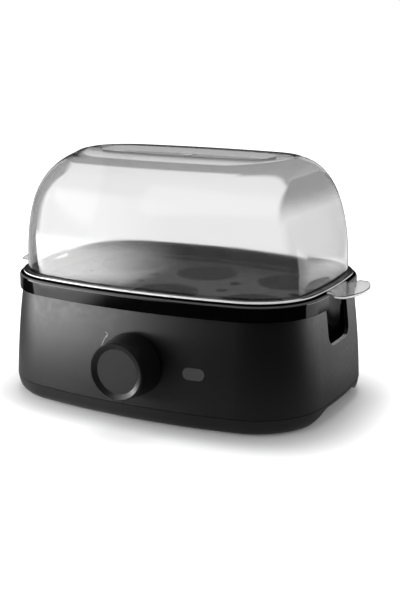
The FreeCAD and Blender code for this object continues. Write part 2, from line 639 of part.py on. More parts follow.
def make_pan():
    outer = new_body("pan_outside")
    loft(outer, "pan_outside_loft", [
        outline(outer, "pan_outside_foot", "foot_height", growth="seam_growth - pan_tuck"),
        outline(outer, "pan_outside_low", "foot_height + low_turn", growth="seam_growth - low_tuck"),
        outline(outer, "pan_outside_high", f"{PAN_TOP} - high_turn", growth="seam_growth - high_tuck"),
        outline(outer, "pan_outside_top", PAN_TOP, growth="seam_growth"),
    ])
    hollow = new_body("pan_hollow")
    loft(hollow, "pan_hollow_loft", [
        outline(hollow, "pan_hollow_foot", PAN_INSIDE, growth="seam_growth - pan_tuck - shell_wall"),
        outline(hollow, "pan_hollow_top", PAN_TOP, growth="seam_growth - shell_wall"),
    ])
    arches = [arch(side, "arch", "0") for side in SIDES]
    roofs = [arch(side, "arch_roof", "pan_floor") for side in SIDES]
    tub = cut("pan_tub", outer, [cut("pan_room", hollow, roofs)])
    lip = new_body("pan_lip_ring")
    lip_growth = "(seam_growth - shell_wall - fit_gap)"
    ring_pad(lip, "pan_lip_pad", PAN_INSIDE, "seam_height + pan_lip", lip_growth,
             f"{lip_growth} - skirt_wall")
    pieces = [tub, lip]
    cuts = list(arches)
    for count, (sx, sy) in enumerate(QUARTERS):
        x, y = f"{sx} * {POST_X}", f"{sy} * {POST_Y}"
        pieces.append(cylinder(f"screw_pad_{count}", "screw_pad_radius", "screw_pad_height",
                               (x, y, "foot_height")))
        cuts.append(cylinder(f"screw_way_{count}", "screw_radius + screw_play", "screw_pad_height",
                             (x, y, "foot_height")))
        cuts.append(cylinder(f"screw_sink_{count}", "screw_head_radius + fit_gap",
                             "screw_head + fit_gap", (x, y, "foot_height")))
    for name in ("stand_left", "stand_right"):
        pieces.append(box(name + "_block",
                          (f"{name} - stand_half_width", f"-{BOARD_BACK}", "foot_height"),
                          (f"{name} + stand_half_width", f"stand_depth - {BOARD_BACK}",
                           f"{DISH_FOOT} - stand_gap")))
        for level in ("board_screw_low", "board_screw_high"):
            cuts.append(cylinder(f"{name}_{level}_pilot", "screw_radius + screw_play",
                                 "small_screw_length", (name, f"-{BOARD_BACK}", level), REAR_FACING))
    node("base_pan", cut("pan_cut", fuse("pan_solid", pieces), cuts))


def make_feet():
    feet = []
    for count, (sx, sy) in enumerate(QUARTERS):
        at = (f"{sx} * (flange_half_width - foot_end_inset)",
              f"{sy} * (flange_half_depth - foot_front_inset)", "0")
        feet.append(cylinder(f"foot_{count}", "foot_radius", "foot_height", at))
    node("rubber_feet", group("feet", feet))


def screw(name, head_radius, shank, at, turn=None):
    """A pan-head screw whose head ends at its own origin, with the shank along its +Z."""
    body = turned(name, [
        ("0", "-screw_head"),
        (head_radius, "-screw_head"),
        (head_radius, "0"),
        ("screw_radius", "0"),
        ("screw_radius", shank),
        ("0", shank),
    ])
    return place(body, at, turn)


def make_housing_screws():
    base, dish = [], []
    for count, (sx, sy) in enumerate(QUARTERS):
        under = "foot_height + screw_head + fit_gap"
        shank = "screw_pad_height - screw_head - fit_gap + base_screw_length - fit_gap"
        base.append(screw(f"base_screw_{count}", "screw_head_radius", shank,
                          (f"{sx} * {POST_X}", f"{sy} * {POST_Y}", under)))
        at = (f"{sx} * clamp_spread", f"{sy} * {CLAMP_Y}", f"{DISH_RIM_FOOT} - dish_sheet")
        dish.append(screw(f"dish_screw_{count}", "screw_head_radius",
                          "dish_sheet + small_screw_length - fit_gap", at))
    node("base_screws", group("base_screw_set", base))
    node("dish_screws", group("dish_screw_set", dish))


def make_dish():
    body = new_body("dish_body")
    ring_pad(body, "dish_rim", DISH_RIM_FOOT, DISH_RIM_TOP, "-dish_rim_inset", "-bowl_inset")
    loft(body, "bowl", [
        outline(body, "bowl_foot", DISH_FOOT, growth="dish_sheet - bowl_floor_inset"),
        outline(body, "bowl_top", DISH_RIM_TOP, growth="dish_sheet - bowl_inset"),
    ])
    loft(body, "bowl_room", [
        outline(body, "bowl_room_foot", BOWL_FLOOR, growth="-bowl_floor_inset"),
        outline(body, "bowl_room_top", DISH_RIM_TOP, growth="-bowl_inset"),
    ], kind="PartDesign::SubtractiveLoft")
    studs = []
    for side in SIDES:
        studs.append(cylinder(f"stud_{SIDE_NAMES[side]}", "stud_radius", "stud_length",
                              (f"{side} * stud_spread", "0", f"{DISH_FOOT} - stud_length")))
    studs.append(cylinder("earth_stud", "stud_radius", "earth_length",
                          ("earth_x", "earth_y", f"{DISH_FOOT} - earth_length")))
    node("water_dish", fuse("dish_fuse", [body] + studs))
    seal = new_body("gasket_body")
    ring_pad(seal, "gasket_pad", DISH_RIM_TOP, LEDGE_FOOT, "-dish_rim_inset - gasket_inset",
             "gasket_inset - ledge_inset")
    node("dish_gasket", seal)
    clamps = []
    for count, (sx, sy) in enumerate(QUARTERS):
        x, y = f"{sx} * clamp_spread", f"{sy} * {CLAMP_Y}"
        inward = f"{y} - {sy} * (bowl_inset - dish_sheet - clamp_post_inset - clamp_gap)"
        outward = f"{y} + {sy} * screw_head_radius"
        front, back = sorted([inward, outward], key=value)
        plate = box(f"clamp_plate_{count}",
                    (f"{x} - 2 * clamp_post_radius", front, f"{DISH_RIM_FOOT} - dish_sheet"),
                    (f"{x} + 2 * clamp_post_radius", back, DISH_RIM_FOOT))
        hole = cylinder(f"clamp_hole_{count}", "screw_radius + screw_play", "2 * dish_sheet",
                        (x, y, f"{DISH_RIM_FOOT} - 2 * dish_sheet"))
        clamps.append(cut(f"clamp_{count}", plate, [hole]))
    node("dish_clamps", group("clamp_set", clamps))


HEATER_Z = f"({DISH_FOOT} - braze_gap - heater_tube)"
STRAP_TOP = f"({DISH_FOOT} - thermostat_height)"
FUSE_Z = f"({DISH_FOOT} - fuse_gap - fuse_radius)"


def make_heater():
    ring = doc.addObject("Part::Torus", "heater_torus")
    bind(ring, Radius1="heater_ring", Radius2="heater_tube", Angle3="360 - heater_open")
    place(ring, ("0", "0", HEATER_Z), Rotation(Vector(0, 0, 1), 90 + value("heater_open / 2")))
    bind(ring, Placement__Rotation__Angle="90 + heater_open / 2")
    node("heating_element", ring)
    pins = []
    for side in SIDES:
        at = (f"{side} * heater_ring * sin(heater_open / 2)", "heater_ring * cos(heater_open / 2)", HEATER_Z)
        along = Vector(-side * math.cos(math.radians(value("heater_open / 2"))),
                       math.sin(math.radians(value("heater_open / 2"))), 0)
        pins.append(cylinder(f"pin_{SIDE_NAMES[side]}", "pin_radius", "pin_length", at,
                             Rotation(Vector(0, 0, 1), along)))
    node("heater_pins", group("pin_set", pins))
    node("thermostat", cylinder("thermostat_can", "thermostat_radius", "thermostat_height",
                                ("0", "0", STRAP_TOP)))
    reach = "(stud_spread + strap_end)"
    plate = box("strap_plate", (f"-{reach}", "-strap_width / 2", f"{STRAP_TOP} - strap_thick"),
                (reach, "strap_width / 2", STRAP_TOP))
    holes, nuts = [], []
    for side in SIDES:
        x = f"{side} * stud_spread"
        holes.append(cylinder(f"strap_hole_{SIDE_NAMES[side]}", "stud_radius + screw_play",
                              "4 * strap_thick", (x, "0", f"{STRAP_TOP} - 2 * strap_thick")))
        prism = doc.addObject("Part::Prism", f"nut_prism_{SIDE_NAMES[side]}")
        prism.Polygon = 6
        bind(prism, Circumradius="nut_radius", Height="nut_height")
        nut_foot = f"{STRAP_TOP} - strap_thick - nut_height"
        place(prism, (x, "0", nut_foot))
        bore = cylinder(f"nut_bore_{SIDE_NAMES[side]}", "stud_radius + screw_play", "nut_height",
                        (x, "0", nut_foot))
        nuts.append(cut(f"nut_{SIDE_NAMES[side]}", prism, [bore]))
    node("thermostat_strap", cut("strap", plate, holes))
    node("strap_nuts", group("nut_set", nuts))
    fuse_can = cylinder("fuse_can", "fuse_radius", "fuse_length",
                        ("-fuse_x", "fuse_length / 2", FUSE_Z), FRONT_FACING)
    node("thermal_fuse", fuse_can)
    block = box("cradle_block", ("-fuse_x - cradle_half_width", "-cradle_length / 2", STRAP_TOP),
                ("cradle_half_width - fuse_x", "cradle_length / 2", FUSE_Z))
    groove = cylinder("cradle_groove", "fuse_radius + screw_play", "2 * cradle_length",
                      ("-fuse_x", "cradle_length", FUSE_Z), FRONT_FACING)
    node("fuse_cradle", cut("cradle", block, [groove]))


def make_board():
    plate = box("board_plate", ("board_left", f"-{BOARD_FACE}", "board_foot"),
                ("board_right", f"-{BOARD_BACK}", "board_top"))
    holes, screws = [], []
    for name in ("stand_left", "stand_right"):
        for level in ("board_screw_low", "board_screw_high"):
            at = (name, f"-{BOARD_FACE}", level)
            holes.append(cylinder(f"{name}_{level}_hole", "screw_radius + screw_play",
                                  "board_thick", at, REAR_FACING))
            screws.append(screw(f"{name}_{level}", "board_screw_head",
                                "board_thick + small_screw_length - fit_gap", at, REAR_FACING))
    node("control_board", cut("board", plate, holes))
    node("board_screws", group("board_screw_set", screws))
    node("relay", box("relay_case", ("relay_left", f"-{BOARD_BACK}", "relay_foot"),
                      ("relay_left + relay_width", f"relay_depth - {BOARD_BACK}",
                       "relay_foot + relay_height")))
    node("buzzer", cylinder("buzzer_can", "buzzer_radius", "buzzer_depth",
                            ("buzzer_x", f"-{BOARD_BACK}", "buzzer_height"), REAR_FACING))
    lamp_length = f"({LENS_BACK} - seat_gap - {BOARD_FACE})"
    lamp = turned("lamp_bulb", [
        ("0", "0"),
        ("lamp_radius", "0"),
        ("lamp_radius", f"{lamp_length} - lamp_radius / 2"),
        ("lamp_radius / 2", lamp_length),
        ("0", lamp_length),
    ])
    node("indicator_lamp", place(lamp, ("lens_x", f"-{BOARD_FACE}", "lens_height"), FRONT_FACING))


KNOB_BACK = f"(flange_half_depth + {wall_growth('dial_height - knob_base_radius')} + knob_gap)"


def make_dial():
    half = "control_side / 2"
    case = box("control_case",
               (f"dial_x - {half}", f"-{BOARD_FACE} - control_depth", f"dial_height - {half}"),
               (f"dial_x + {half}", f"-{BOARD_FACE}", f"dial_height + {half}"))
    axis = ("dial_x", f"-{BOARD_FACE}", "dial_height")
    bush = cylinder("control_bush", "bush_radius", "control_depth + bush_length", axis, FRONT_FACING)
    bore_at = ("dial_x", f"shaft_seat - {BOARD_FACE} - control_depth", "dial_height")
    bore = cylinder("control_bore", "shaft_radius + shaft_play", "control_depth + 2 * bush_length",
                    bore_at, FRONT_FACING)
    node("rotary_control", cut("control", fuse("control_solid", [case, bush]), [bore]))
    start = f"({BOARD_FACE} + control_depth - shaft_seat + seat_gap)"
    shaft = cylinder("shaft_rod", "shaft_radius", f"{KNOB_BACK} + shaft_grip - {start}",
                     ("dial_x", f"-{start}", "dial_height"), FRONT_FACING)
    node("dial_shaft", shaft)
    cap_radius = "(knob_face_radius - knob_rim - knob_bevel)"
    floor = "(knob_depth - knob_sink)"
    seat = f"({floor} - cap_thick)"
    inner = f"({seat} - knob_wall)"
    knob = turned("knob_body", [
        ("knob_base_radius - knob_wall", "0"),
        ("knob_base_radius", "0"),
        ("knob_face_radius", "knob_depth - knob_edge"),
        ("knob_face_radius - knob_edge", "knob_depth"),
        ("knob_face_radius - knob_rim", "knob_depth"),
        (cap_radius, floor),
        (cap_radius, seat),
        ("0", seat),
        ("0", "shaft_grip"),
        ("shaft_radius", "shaft_grip"),
        ("shaft_radius", "0"),
        ("knob_hub", "0"),
        ("knob_hub", inner),
        ("knob_face_radius - knob_wall - knob_edge", inner),
    ])
    at = ("dial_x", f"-{KNOB_BACK}", "dial_height")
    node("knob", place(knob, at, FRONT_FACING))
    cap_at = ("dial_x", f"-{KNOB_BACK} - {seat}", "dial_height")
    node("knob_cap", cylinder("cap_disc", f"{cap_radius} - cap_play", "cap_thick", cap_at, FRONT_FACING))


GROMMET_Y = (f"(sqrt((front_bow + {wall_growth('grommet_height')})^2 - grommet_x^2)"
             " - (front_bow - flange_half_depth))")


def make_mains():
    low = ("block_x - block_length / 2", f"{BLOCK_Y} - block_width / 2", PAN_INSIDE)
    high = ("block_x + block_length / 2", f"{BLOCK_Y} + block_width / 2", f"{PAN_INSIDE} + block_height")
    node("terminal_block", box("mains_block", low, high))
    inside = "-(shell_wall + grommet_slack)"
    grommet = turned("grommet_body", [
        ("grommet_bore", f"{inside} - grommet_flange_thick"),
        ("grommet_flange", f"{inside} - grommet_flange_thick"),
        ("grommet_flange", inside),
        ("grommet_neck", inside),
        ("grommet_neck", "grommet_slack"),
        ("grommet_flange", "grommet_slack"),
        ("grommet_flange - grommet_slack", "grommet_slack + grommet_flange_thick"),
        ("grommet_bore", "grommet_slack + grommet_flange_thick"),
    ])
    node("cord_grommet", place(grommet, ("grommet_x", GROMMET_Y, "grommet_height"), REAR_FACING))


def lead(name, points):
    """A round wire along straight runs joined by tangent arcs."""
    bend = value("lead_bend")
    corners = [Vector(*(value(text) for text in point)) for point in points]
    edges = []
    start = corners[0]
    for before, corner, after in zip(corners, corners[1:], corners[2:]):
        back = (before - corner).normalize()
        ahead = (after - corner).normalize()
        half = back.getAngle(ahead) / 2
        setback = bend / math.tan(half)
        middle = (back + ahead).normalize() * (bend / math.sin(half) - bend)
        enter = corner + back * setback
        leave = corner + ahead * setback
        edges.append(Part.LineSegment(start, enter).toShape())
        edges.append(Part.Arc(enter, corner + middle, leave).toShape())
        start = leave
    edges.append(Part.LineSegment(start, corners[-1]).toShape())
    path = Part.Wire(edges)
    heading = corners[1] - corners[0]
    section = Part.Wire([Part.Circle(corners[0], heading, value("lead_radius")).toShape()])
    wire = doc.addObject("Part::Feature", name + "_wire")
    wire.Shape = path.makePipeShell([section], True, False)
    node(name, wire)


def make_leads():
    block_top = f"({PAN_INSIDE} + block_height)"
    run_low = f"({block_top} + 3 * lead_bend)"
    run_high = f"({HEATER_Z} - 3 * lead_bend)"
    pin_x = "(heater_ring * sin(heater_open / 2) - pin_length * cos(heater_open / 2))"
    pin_y = "(heater_ring * cos(heater_open / 2) + pin_length * sin(heater_open / 2))"
    turn_x = f"({pin_x} - 2 * lead_bend * cos(heater_open / 2))"
    turn_y = f"({pin_y} + 2 * lead_bend * sin(heater_open / 2))"
    board_back = f"-{BOARD_BACK}"
    neutral_x = "(block_x - lead_pitch)"
    lead("neutral_lead", [
        (neutral_x, BLOCK_Y, block_top),
        (neutral_x, BLOCK_Y, run_low),
        (turn_x, turn_y, run_low),
        (turn_x, turn_y, HEATER_Z),
        (pin_x, pin_y, HEATER_Z),
    ])
    fuse_end = "(fuse_length / 2)"
    fuse_turn = "(fuse_length / 2 + 2 * lead_bend)"
    lead("heater_lead", [
        ("-fuse_x", fuse_end, FUSE_Z),
        ("-fuse_x", fuse_turn, FUSE_Z),
        ("-fuse_x", fuse_turn, run_high),
        (f"-{turn_x}", turn_y, run_high),
        (f"-{turn_x}", turn_y, HEATER_Z),
        (f"-{pin_x}", pin_y, HEATER_Z),
    ])
    lead("fuse_lead", [
        ("-fuse_x", f"-{fuse_end}", FUSE_Z),
        ("-fuse_x", f"-{fuse_turn}", FUSE_Z),
        ("-fuse_x", f"-{fuse_turn}", run_high),
        ("-fuse_x", board_back, run_high),
    ])
    lead("live_lead", [
        ("block_x", BLOCK_Y, block_top),
        ("block_x", BLOCK_Y, run_low),
        ("block_x", board_back, run_low),
    ])
    earth_start = "(block_x + lead_pitch)"
    lead("earth_lead", [
        (earth_start, BLOCK_Y, block_top),
        (earth_start, BLOCK_Y, run_low),
        ("earth_x", "earth_y", run_low),
        ("earth_x", "earth_y", f"{DISH_FOOT} - earth_length"),
    ])


def make_tray():
    body = new_body("tray_plate")
    edge = "(-well_inset - tray_play)"
    plan = outline(body, "tray_plan", TRAY_FOOT, growth=edge)
    pad(body, "tray_pad", plan, "tray_thick")
    ring_pad(body, "tray_rim_pad", TRAY_TOP, f"{TRAY_TOP} + tray_rim", edge, f"{edge} - tray_rim_wall")
    cups, rooms = [], []
    height = "(tray_thick + seat_drop)"
    for column in (-1, 0, 1):
        for row in SIDES:
            tag = f"{column + 1}_{SIDE_NAMES[row]}"
            at = (f"{column} * {SEAT_PITCH}", f"{row} * {ROW_OFFSET}", f"{TRAY_TOP} - {height}")
            for name, grow, made in (("cup", "seat_wall", cups), ("cup_room", "0", rooms)):
                cone = doc.addObject("Part::Cone", f"{name}_{tag}")
                bind(cone, Radius1=f"seat_foot_radius + {grow}", Radius2=f"seat_radius + {grow}",
                     Height=height)
                made.append(place(cone, at))
    spots = [(f"{sx} * {SEAT_PITCH} / 2", f"{sy} * steam_y") for sx, sy in QUARTERS]
    spots += [(f"{side} * (flange_half_width - steam_end_room)", "0") for side in SIDES]
    for count, (x, y) in enumerate(spots):
        rooms.append(cylinder(f"steam_{count}", "steam_radius", "3 * tray_thick",
                              (x, y, f"{TRAY_FOOT} - tray_thick")))
    node("egg_tray", cut("tray", fuse("tray_solid", [body] + cups), rooms))


# Sections of the dome, as shares of its height
DOME_SHARES = (0, 0.2, 0.4, 0.55, 0.68, 0.78, 0.86, 0.92, 0.96, 0.985, 0.996, 1)


def corner_limit(half_width, half_depth):
    """Largest corner radius that still leaves some of the bowed end between two corners."""
    return f"lid_corner_share * ({half_depth} - {half_width}^2 / (2 * front_bow))"


def dome_sections(body, name, foot, thinner):
    """Plan outlines of the dome, from its foot to the edge of its flat top."""
    top = f"(lid_top - {thinner})"
    sections = []
    for count, share in enumerate(DOME_SHARES):
        end_in = f"lid_end_run * (1 - (1 - {share}^lid_end_power)^(1 / lid_end_turn))"
        front_in = f"lid_front_run * (1 - (1 - {share}^lid_front_power)^(1 / lid_front_turn))"
        half_width = f"(flange_half_width - lid_inset - {thinner} - {end_in})"
        half_depth = f"(flange_half_depth - lid_inset - {thinner} - {front_in})"
        corner = (f"min((corner_round - lid_inset - {thinner}) * (1 - {share})"
                  f" + (lid_corner_top - {thinner}) * {share}; {corner_limit(half_width, half_depth)})")
        sections.append(outline(body, f"{name}_{count}", f"{foot} + {share} * ({top} - {foot})",
                                half_width=half_width, half_depth=half_depth, corner=corner))
    return sections


def panel_plan(body, name, height, smaller):
    half_width = f"(flange_half_width - lid_inset - lid_end_run - panel_end_margin - {smaller})"
    half_depth = f"(flange_half_depth - lid_inset - lid_front_run - panel_front_margin - {smaller})"
    corner = f"min(panel_corner - {smaller}; {corner_limit(half_width, half_depth)})"
    return outline(body, name, height, half_width=half_width, half_depth=half_depth, corner=corner)


def lifting_tab(side):
    """A flared plate with a bowed outer end."""
    name = f"tab_{SIDE_NAMES[side]}"
    body = new_body(name)
    sketch = sketch_on(body, name + "_plan", height=f"{LID_RIM} - tab_drop - tab_thick")
    end = "(flange_half_width + tab_end)"
    shoulder = f"({end} - tab_bow + sqrt(tab_bow^2 - tab_half_width^2))"
    half = [
        (f"{side} * (flange_half_width - tab_bite)", "tab_root"),
        (f"{side} * (flange_half_width + tab_neck)", "tab_root"),
        (f"{side} * (flange_half_width + tab_wide)", "tab_half_width"),
        (f"{side} * {shoulder}", "tab_half_width"),
    ]
    corners = half + [(x, f"-{y}") for x, y in reversed(half)]
    points = [Vector(value(x), value(y), 0) for x, y in corners]
    bowed = len(half) - 1
    ids = []
    for count, (here, after) in enumerate(zip(points, points[1:] + points[:1])):
        middle = Vector(side * value(end), 0, 0)
        edge = Part.Arc(here, middle, after) if count == bowed else Part.LineSegment(here, after)
        ids.append(sketch.addGeometry(edge))
    start, stop = (1, 2) if side < 0 else (2, 1)
    for count, (x, y) in enumerate(corners):
        if count == bowed:
            continue
        constrain(sketch, x, "DistanceX", -1, 1, ids[count], 1)
        constrain(sketch, y, "DistanceY", -1, 1, ids[count], 1)
        if count + 1 != bowed:
            follower = ids[(count + 1) % len(ids)]
            sketch.addConstraint(Sketcher.Constraint("Coincident", ids[count], 2, follower, 1))
    sketch.addConstraint(Sketcher.Constraint("Coincident", ids[bowed - 1], 2, ids[bowed], start))
    sketch.addConstraint(Sketcher.Constraint("Coincident", ids[bowed], stop, ids[bowed + 1], 1))
    constrain(sketch, "tab_bow", "Radius", ids[bowed])
    slab = pad(body, name + "_pad", sketch, "tab_thick")
    far = value(shoulder)

    def outer_corner(edge):
        box_of = edge.BoundBox
        upright = box_of.ZLength > max(box_of.XLength, box_of.YLength) + TOUCH
        return upright and abs(abs(box_of.XMin) - far) < TOUCH

    side_length = f"({shoulder} - flange_half_width - tab_wide)"
    largest = f"tab_round_share * {side_length} / tan(acos(tab_half_width / tab_bow) / 2)"
    fillet(body, name + "_corners", slab, f"min(tab_round; {largest})", outer_corner)
    return body


def make_lid():
    dome = new_body("dome_outside")
    loft(dome, "dome_loft", dome_sections(dome, "dome", LID_FOOT, "0"))
    room = new_body("dome_inside")
    loft(room, "room_loft", dome_sections(room, "room", LID_FOOT, "lid_wall"))
    flange = new_body("lid_flange_body")
    pad(flange, "flange_pad", outline(flange, "flange_plan", LID_FOOT), "lid_flange")
    solids = [dome, flange]
    for side in SIDES:
        solids.append(lifting_tab(side))
    plug = new_body("panel_plug")
    plug_foot = "(lid_top - panel_sink - lid_wall)"
    pad(plug, "plug_pad", panel_plan(plug, "plug_plan", plug_foot, "0"), "panel_sink / 2 + lid_wall")
    sunk = new_body("panel_room")
    loft(sunk, "panel_loft", [
        panel_plan(sunk, "panel_low", "lid_top - panel_sink", "panel_slope"),
        panel_plan(sunk, "panel_high", "lid_top", "0"),
    ])
    vent = cylinder("vent", "vent_radius", "4 * lid_wall", ("0", "0", "lid_top - 3 * lid_wall"))
    shell = cut("lid_shell", fuse("lid_solid", solids), [room])
    node("lid", cut("lid_cut", fuse("lid_plugged", [shell, plug]), [sunk, vent]))


make_shell()
make_frame()
make_pan()
make_feet()
make_housing_screws()
make_dish()
make_heater()
make_board()
make_dial()
make_mains()
make_leads()
make_tray()
make_lid()
doc.recompute()

for item in doc.Objects:
    if "Invalid" in item.State or "Error" in item.State:
        raise RuntimeError(f"{item.Label} failed: {item.State}")
for name, item in nodes.items():
    if item.Shape.isNull() or not item.Shape.isValid():
        raise RuntimeError(f"{name} has no valid shape")
os.makedirs("parts", exist_ok=True)
for name, item in nodes.items():
    item.Shape.exportStep(f"parts/{name}.step")
    print(f"{name}: {len(item.Shape.Solids)} solid(s), {item.Shape.Volume / 1000:.2f} cm3")
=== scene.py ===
import math

import bpy
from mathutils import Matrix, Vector
from mathutils.bvhtree import BVHTree


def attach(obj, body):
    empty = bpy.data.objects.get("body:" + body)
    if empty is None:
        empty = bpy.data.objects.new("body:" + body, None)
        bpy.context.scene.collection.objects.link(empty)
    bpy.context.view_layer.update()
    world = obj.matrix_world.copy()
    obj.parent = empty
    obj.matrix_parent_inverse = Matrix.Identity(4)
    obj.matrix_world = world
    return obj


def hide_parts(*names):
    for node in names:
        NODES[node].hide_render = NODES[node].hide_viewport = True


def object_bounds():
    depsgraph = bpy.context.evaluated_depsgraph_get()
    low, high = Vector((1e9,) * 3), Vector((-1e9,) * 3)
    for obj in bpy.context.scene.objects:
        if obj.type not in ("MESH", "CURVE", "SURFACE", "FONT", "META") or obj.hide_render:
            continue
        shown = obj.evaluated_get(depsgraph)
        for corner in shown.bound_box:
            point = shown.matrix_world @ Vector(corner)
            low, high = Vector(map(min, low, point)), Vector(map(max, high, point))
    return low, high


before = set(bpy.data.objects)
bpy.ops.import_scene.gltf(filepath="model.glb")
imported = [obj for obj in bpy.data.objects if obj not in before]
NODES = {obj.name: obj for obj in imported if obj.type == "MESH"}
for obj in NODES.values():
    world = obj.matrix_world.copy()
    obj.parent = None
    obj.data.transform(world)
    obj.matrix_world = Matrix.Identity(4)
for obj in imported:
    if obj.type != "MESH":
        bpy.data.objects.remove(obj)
cad_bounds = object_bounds()

MM = 0.001

# Camera, in millimetres
CAMERA_PLACE = (304.9, -572.5, 220.0)
CAMERA_TARGET = (8.4, 0.0, 55.1)
CAMERA_LENS = 66.19
CAMERA_SENSOR = 36.0
CLIP_START = 10.0
CLIP_END = 100000.0

# Stage, in millimetres
FLOOR_HALF = 1500.0
FOOT_HALF_WIDTH = 100.0
FOOT_HALF_DEPTH = 68.0
LEFT_CARD_OUTER = (-340.0, -78.0)
LEFT_CARD_INNER = (-8.0, -294.0)
RIGHT_CARD_NEAR = (277.0, 40.0)
RIGHT_CARD_FAR = (40.0, 478.0)
CARD_FOOT = 0.5
CARD_HEIGHT = 260.0

# Floor: tone, then reach of its painted shadow in sizes of the foot, where its glow to the camera dips,
# and its glow beyond
FLOOR_TONE = 0.55
FLOOR_ROUGH = 0.9
PAINTED_SHADOW_REACH = (1.0, 1.9)
PAINTED_SHADOW_GLOW = (0.08, 0.48)
FLOOR_REACH = (1.9, 12.0)
FLOOR_GLOW = (0.0, 0.52)

# Floor through the lid, by distance in metres, dim near the foot as painted shadow
THROUGH_REACH = (0.12, 0.2)
THROUGH_GLOW = (0.12, 1.0)

# Floor in reflections: places in metres, with glow and shares
MIRROR_NEAR = (0.15, 0.30)
MIRROR_NEAR_GLOW = (0.45, 0.01)
MIRROR_LEFT = (-0.05, 0.05)
MIRROR_LEFT_SHARE = (1.0, 0.5)
MIRROR_REAR = (0.02, 0.08)
MIRROR_REAR_GLOW = (0.0, 0.9)
MIRROR_CLEAR = (0.11, 0.15)
MIRROR_CLEAR_SHARE = (0.3, 1.0)
MIRROR_SHORT = (0.16, 0.22)

# Left card: bands in shares of its length and height, slants, and glow
LEFT_RISE = (0.1, 0.14)
LEFT_RISE_GLOW = (2.0, 13.4)
LEFT_HIGH = (0.2, 0.27)
LEFT_HIGH_SHARE = (1.0, 0.22)
LEFT_OUTER = (0.34, 0.37)
LEFT_OUTER_SLANT = 1.7
LEFT_LOW = (0.39, 0.54)
LEFT_LOW_SLANT = -1.67
LEFT_MIDDLE = (0.18, 0.30)
LEFT_MIDDLE_SLANT = -4.0
LEFT_INNER = (0.48, 0.92)
LEFT_TOP = (0.6, 1.0)

# Right card: bands in shares of its length and height, slant, and glow
RIGHT_RISE = (0.06, 0.2)
RIGHT_RISE_GLOW = (0.9, 3.0)
RIGHT_FAR = (0.2, 0.4)
RIGHT_FOOT = (0.01, 0.045)
RIGHT_TOP = (0.14, 0.27)
RIGHT_TOP_SLANT = -2.0
RIGHT_TOP_SHARE = (0.1, 1.0)

# World: white through the lid by height of the view, and fill for other light and for reflections
SKY_RISE = (0.4, 0.8)
SKY_GLOW = (1.0, 0.75)
SKY_FILL = 0.6
SKY_FILL_MIRRORED = 0.06

# Lamps, in millimetres and watts
LAMP_SIZE = 500.0
TOP_LAMP_PLACE = (-120.0, 260.0, 850.0)
TOP_LAMP_TARGET = (0.0, 0.0, 0.0)
TOP_LAMP_POWER = 8.0
FRONT_LAMP_PLACE = (-100.0, -800.0, 500.0)
FRONT_LAMP_TARGET = (0.0, 0.0, 60.0)
FRONT_LAMP_POWER = 1.0

# Lid, of the same form as its solid, with its lengths in millimetres
FRONT_BOW = 373.0
END_BOW = 285.0
FLANGE_HALF_WIDTH = 95.0
FLANGE_HALF_DEPTH = 67.0
FLANGE_CORNER = 37.3
FLANGE_THICK = 1.6
FLANGE_ROUND = 0.4
FLANGE_BRIGHT = 1.05
LID_FOOT = 73.0
LID_TOP = 143.8
LID_INSET = 3.0
LID_WALL = 1.8
LID_END_RUN = 25.5
LID_END_POWER = 2.4
LID_END_TURN = 1.3
LID_FRONT_RUN = 41.8
LID_FRONT_POWER = 7.0
LID_FRONT_TURN = 2.0
LID_CORNER_TOP = 31.9
LID_CORNER_SHARE = 0.95
PANEL_HALF_WIDTH = 55.0
PANEL_HALF_DEPTH = 17.0
PANEL_CORNER = 12.0
PANEL_SINK = 1.6
PANEL_SLOPE = 2.5
VENT_RADIUS = 2.5
DOME_STEPS = 60
DOME_CROWD = 2.2
END_STEPS = 8
CORNER_STEPS = 20
FRONT_STEPS = 14

# Ramps: a whole share, and values that rise or fall over a band
WHOLE = (0.0, 1.0)
FADE_IN = (0.0, 1.0)
FADE_OUT = (1.0, 0.0)

# Surface noise: the band in use, the coarse scale against the fine, their detail, and a brushed stretch
NOISE_BAND = (0.3, 0.7)
COARSE_SHARE = 0.12
COARSE_DETAIL = 4.0
FINE_DETAIL = 3.0
BRUSH_STRETCH = (1.0, 1.0, 6.0)

# Shell: tone of its wall, and of a painted highlight on the slots' cut sills, which face up and lie above
# these heights in metres
SHELL_TONE = 0.002
SILL_HIGHLIGHT_TONE = 0.42
SILL_HIGHLIGHT_FACING = (0.85, 0.97)
SILL_HIGHLIGHT_HEIGHTS = (0.036, 0.04)

# Upper frame: tones and gloss, by how far a face turns upwards; faces that lean up get a painted
# highlight, flat faces get painted shade with their reflection taken out
FRAME_TONE = 0.001
FRAME_HIGHLIGHT_TONE = 0.07
FRAME_LEVEL_SHADE_SHARE = 0.01
FRAME_GLOSS = 0.5
FRAME_HIGHLIGHT_TURN = (0.25, 0.45)
FRAME_SHADED_LEVEL = (0.75, 0.9)
FRAME_REFLECTION_FADE = (0.4, 0.8)

# Lid's plastic: refraction, light let through its shadow, its own tone, and the tones of painted shade at
# the crown, edge lines, shoulders and ends
SMOKE_INDEX = 1.49
SMOKE_SHADOW = 0.86
SMOKE_TONE = 0.955
CROWN_SHADE_TONE = 0.88
LINE_SHADE_TONE = 0.2
SHOULDER_SHADE_TONE = 0.12
END_SHADE_TONE = 0.66

# Where painted shade darkens the lid's plastic: heights in metres, lean of the face, and share of a
# grazing view
CROWN_HEIGHTS = (0.1375, 0.1415)
BROW_FROM = (0.9, 0.935)
BROW_TO = (0.975, 0.988)
END_LEAN = (0.74, 0.93)
SHOULDER_LEAN = (0.74, 0.82)
SHOULDER_HEIGHTS = (0.106, 0.132)
CORNER_FROM = (0.1, 0.22)
CORNER_TO = (0.75, 0.95)
GRAZING_FROM = (0.38, 0.5)
GRAZING_TO = (0.72, 0.84)

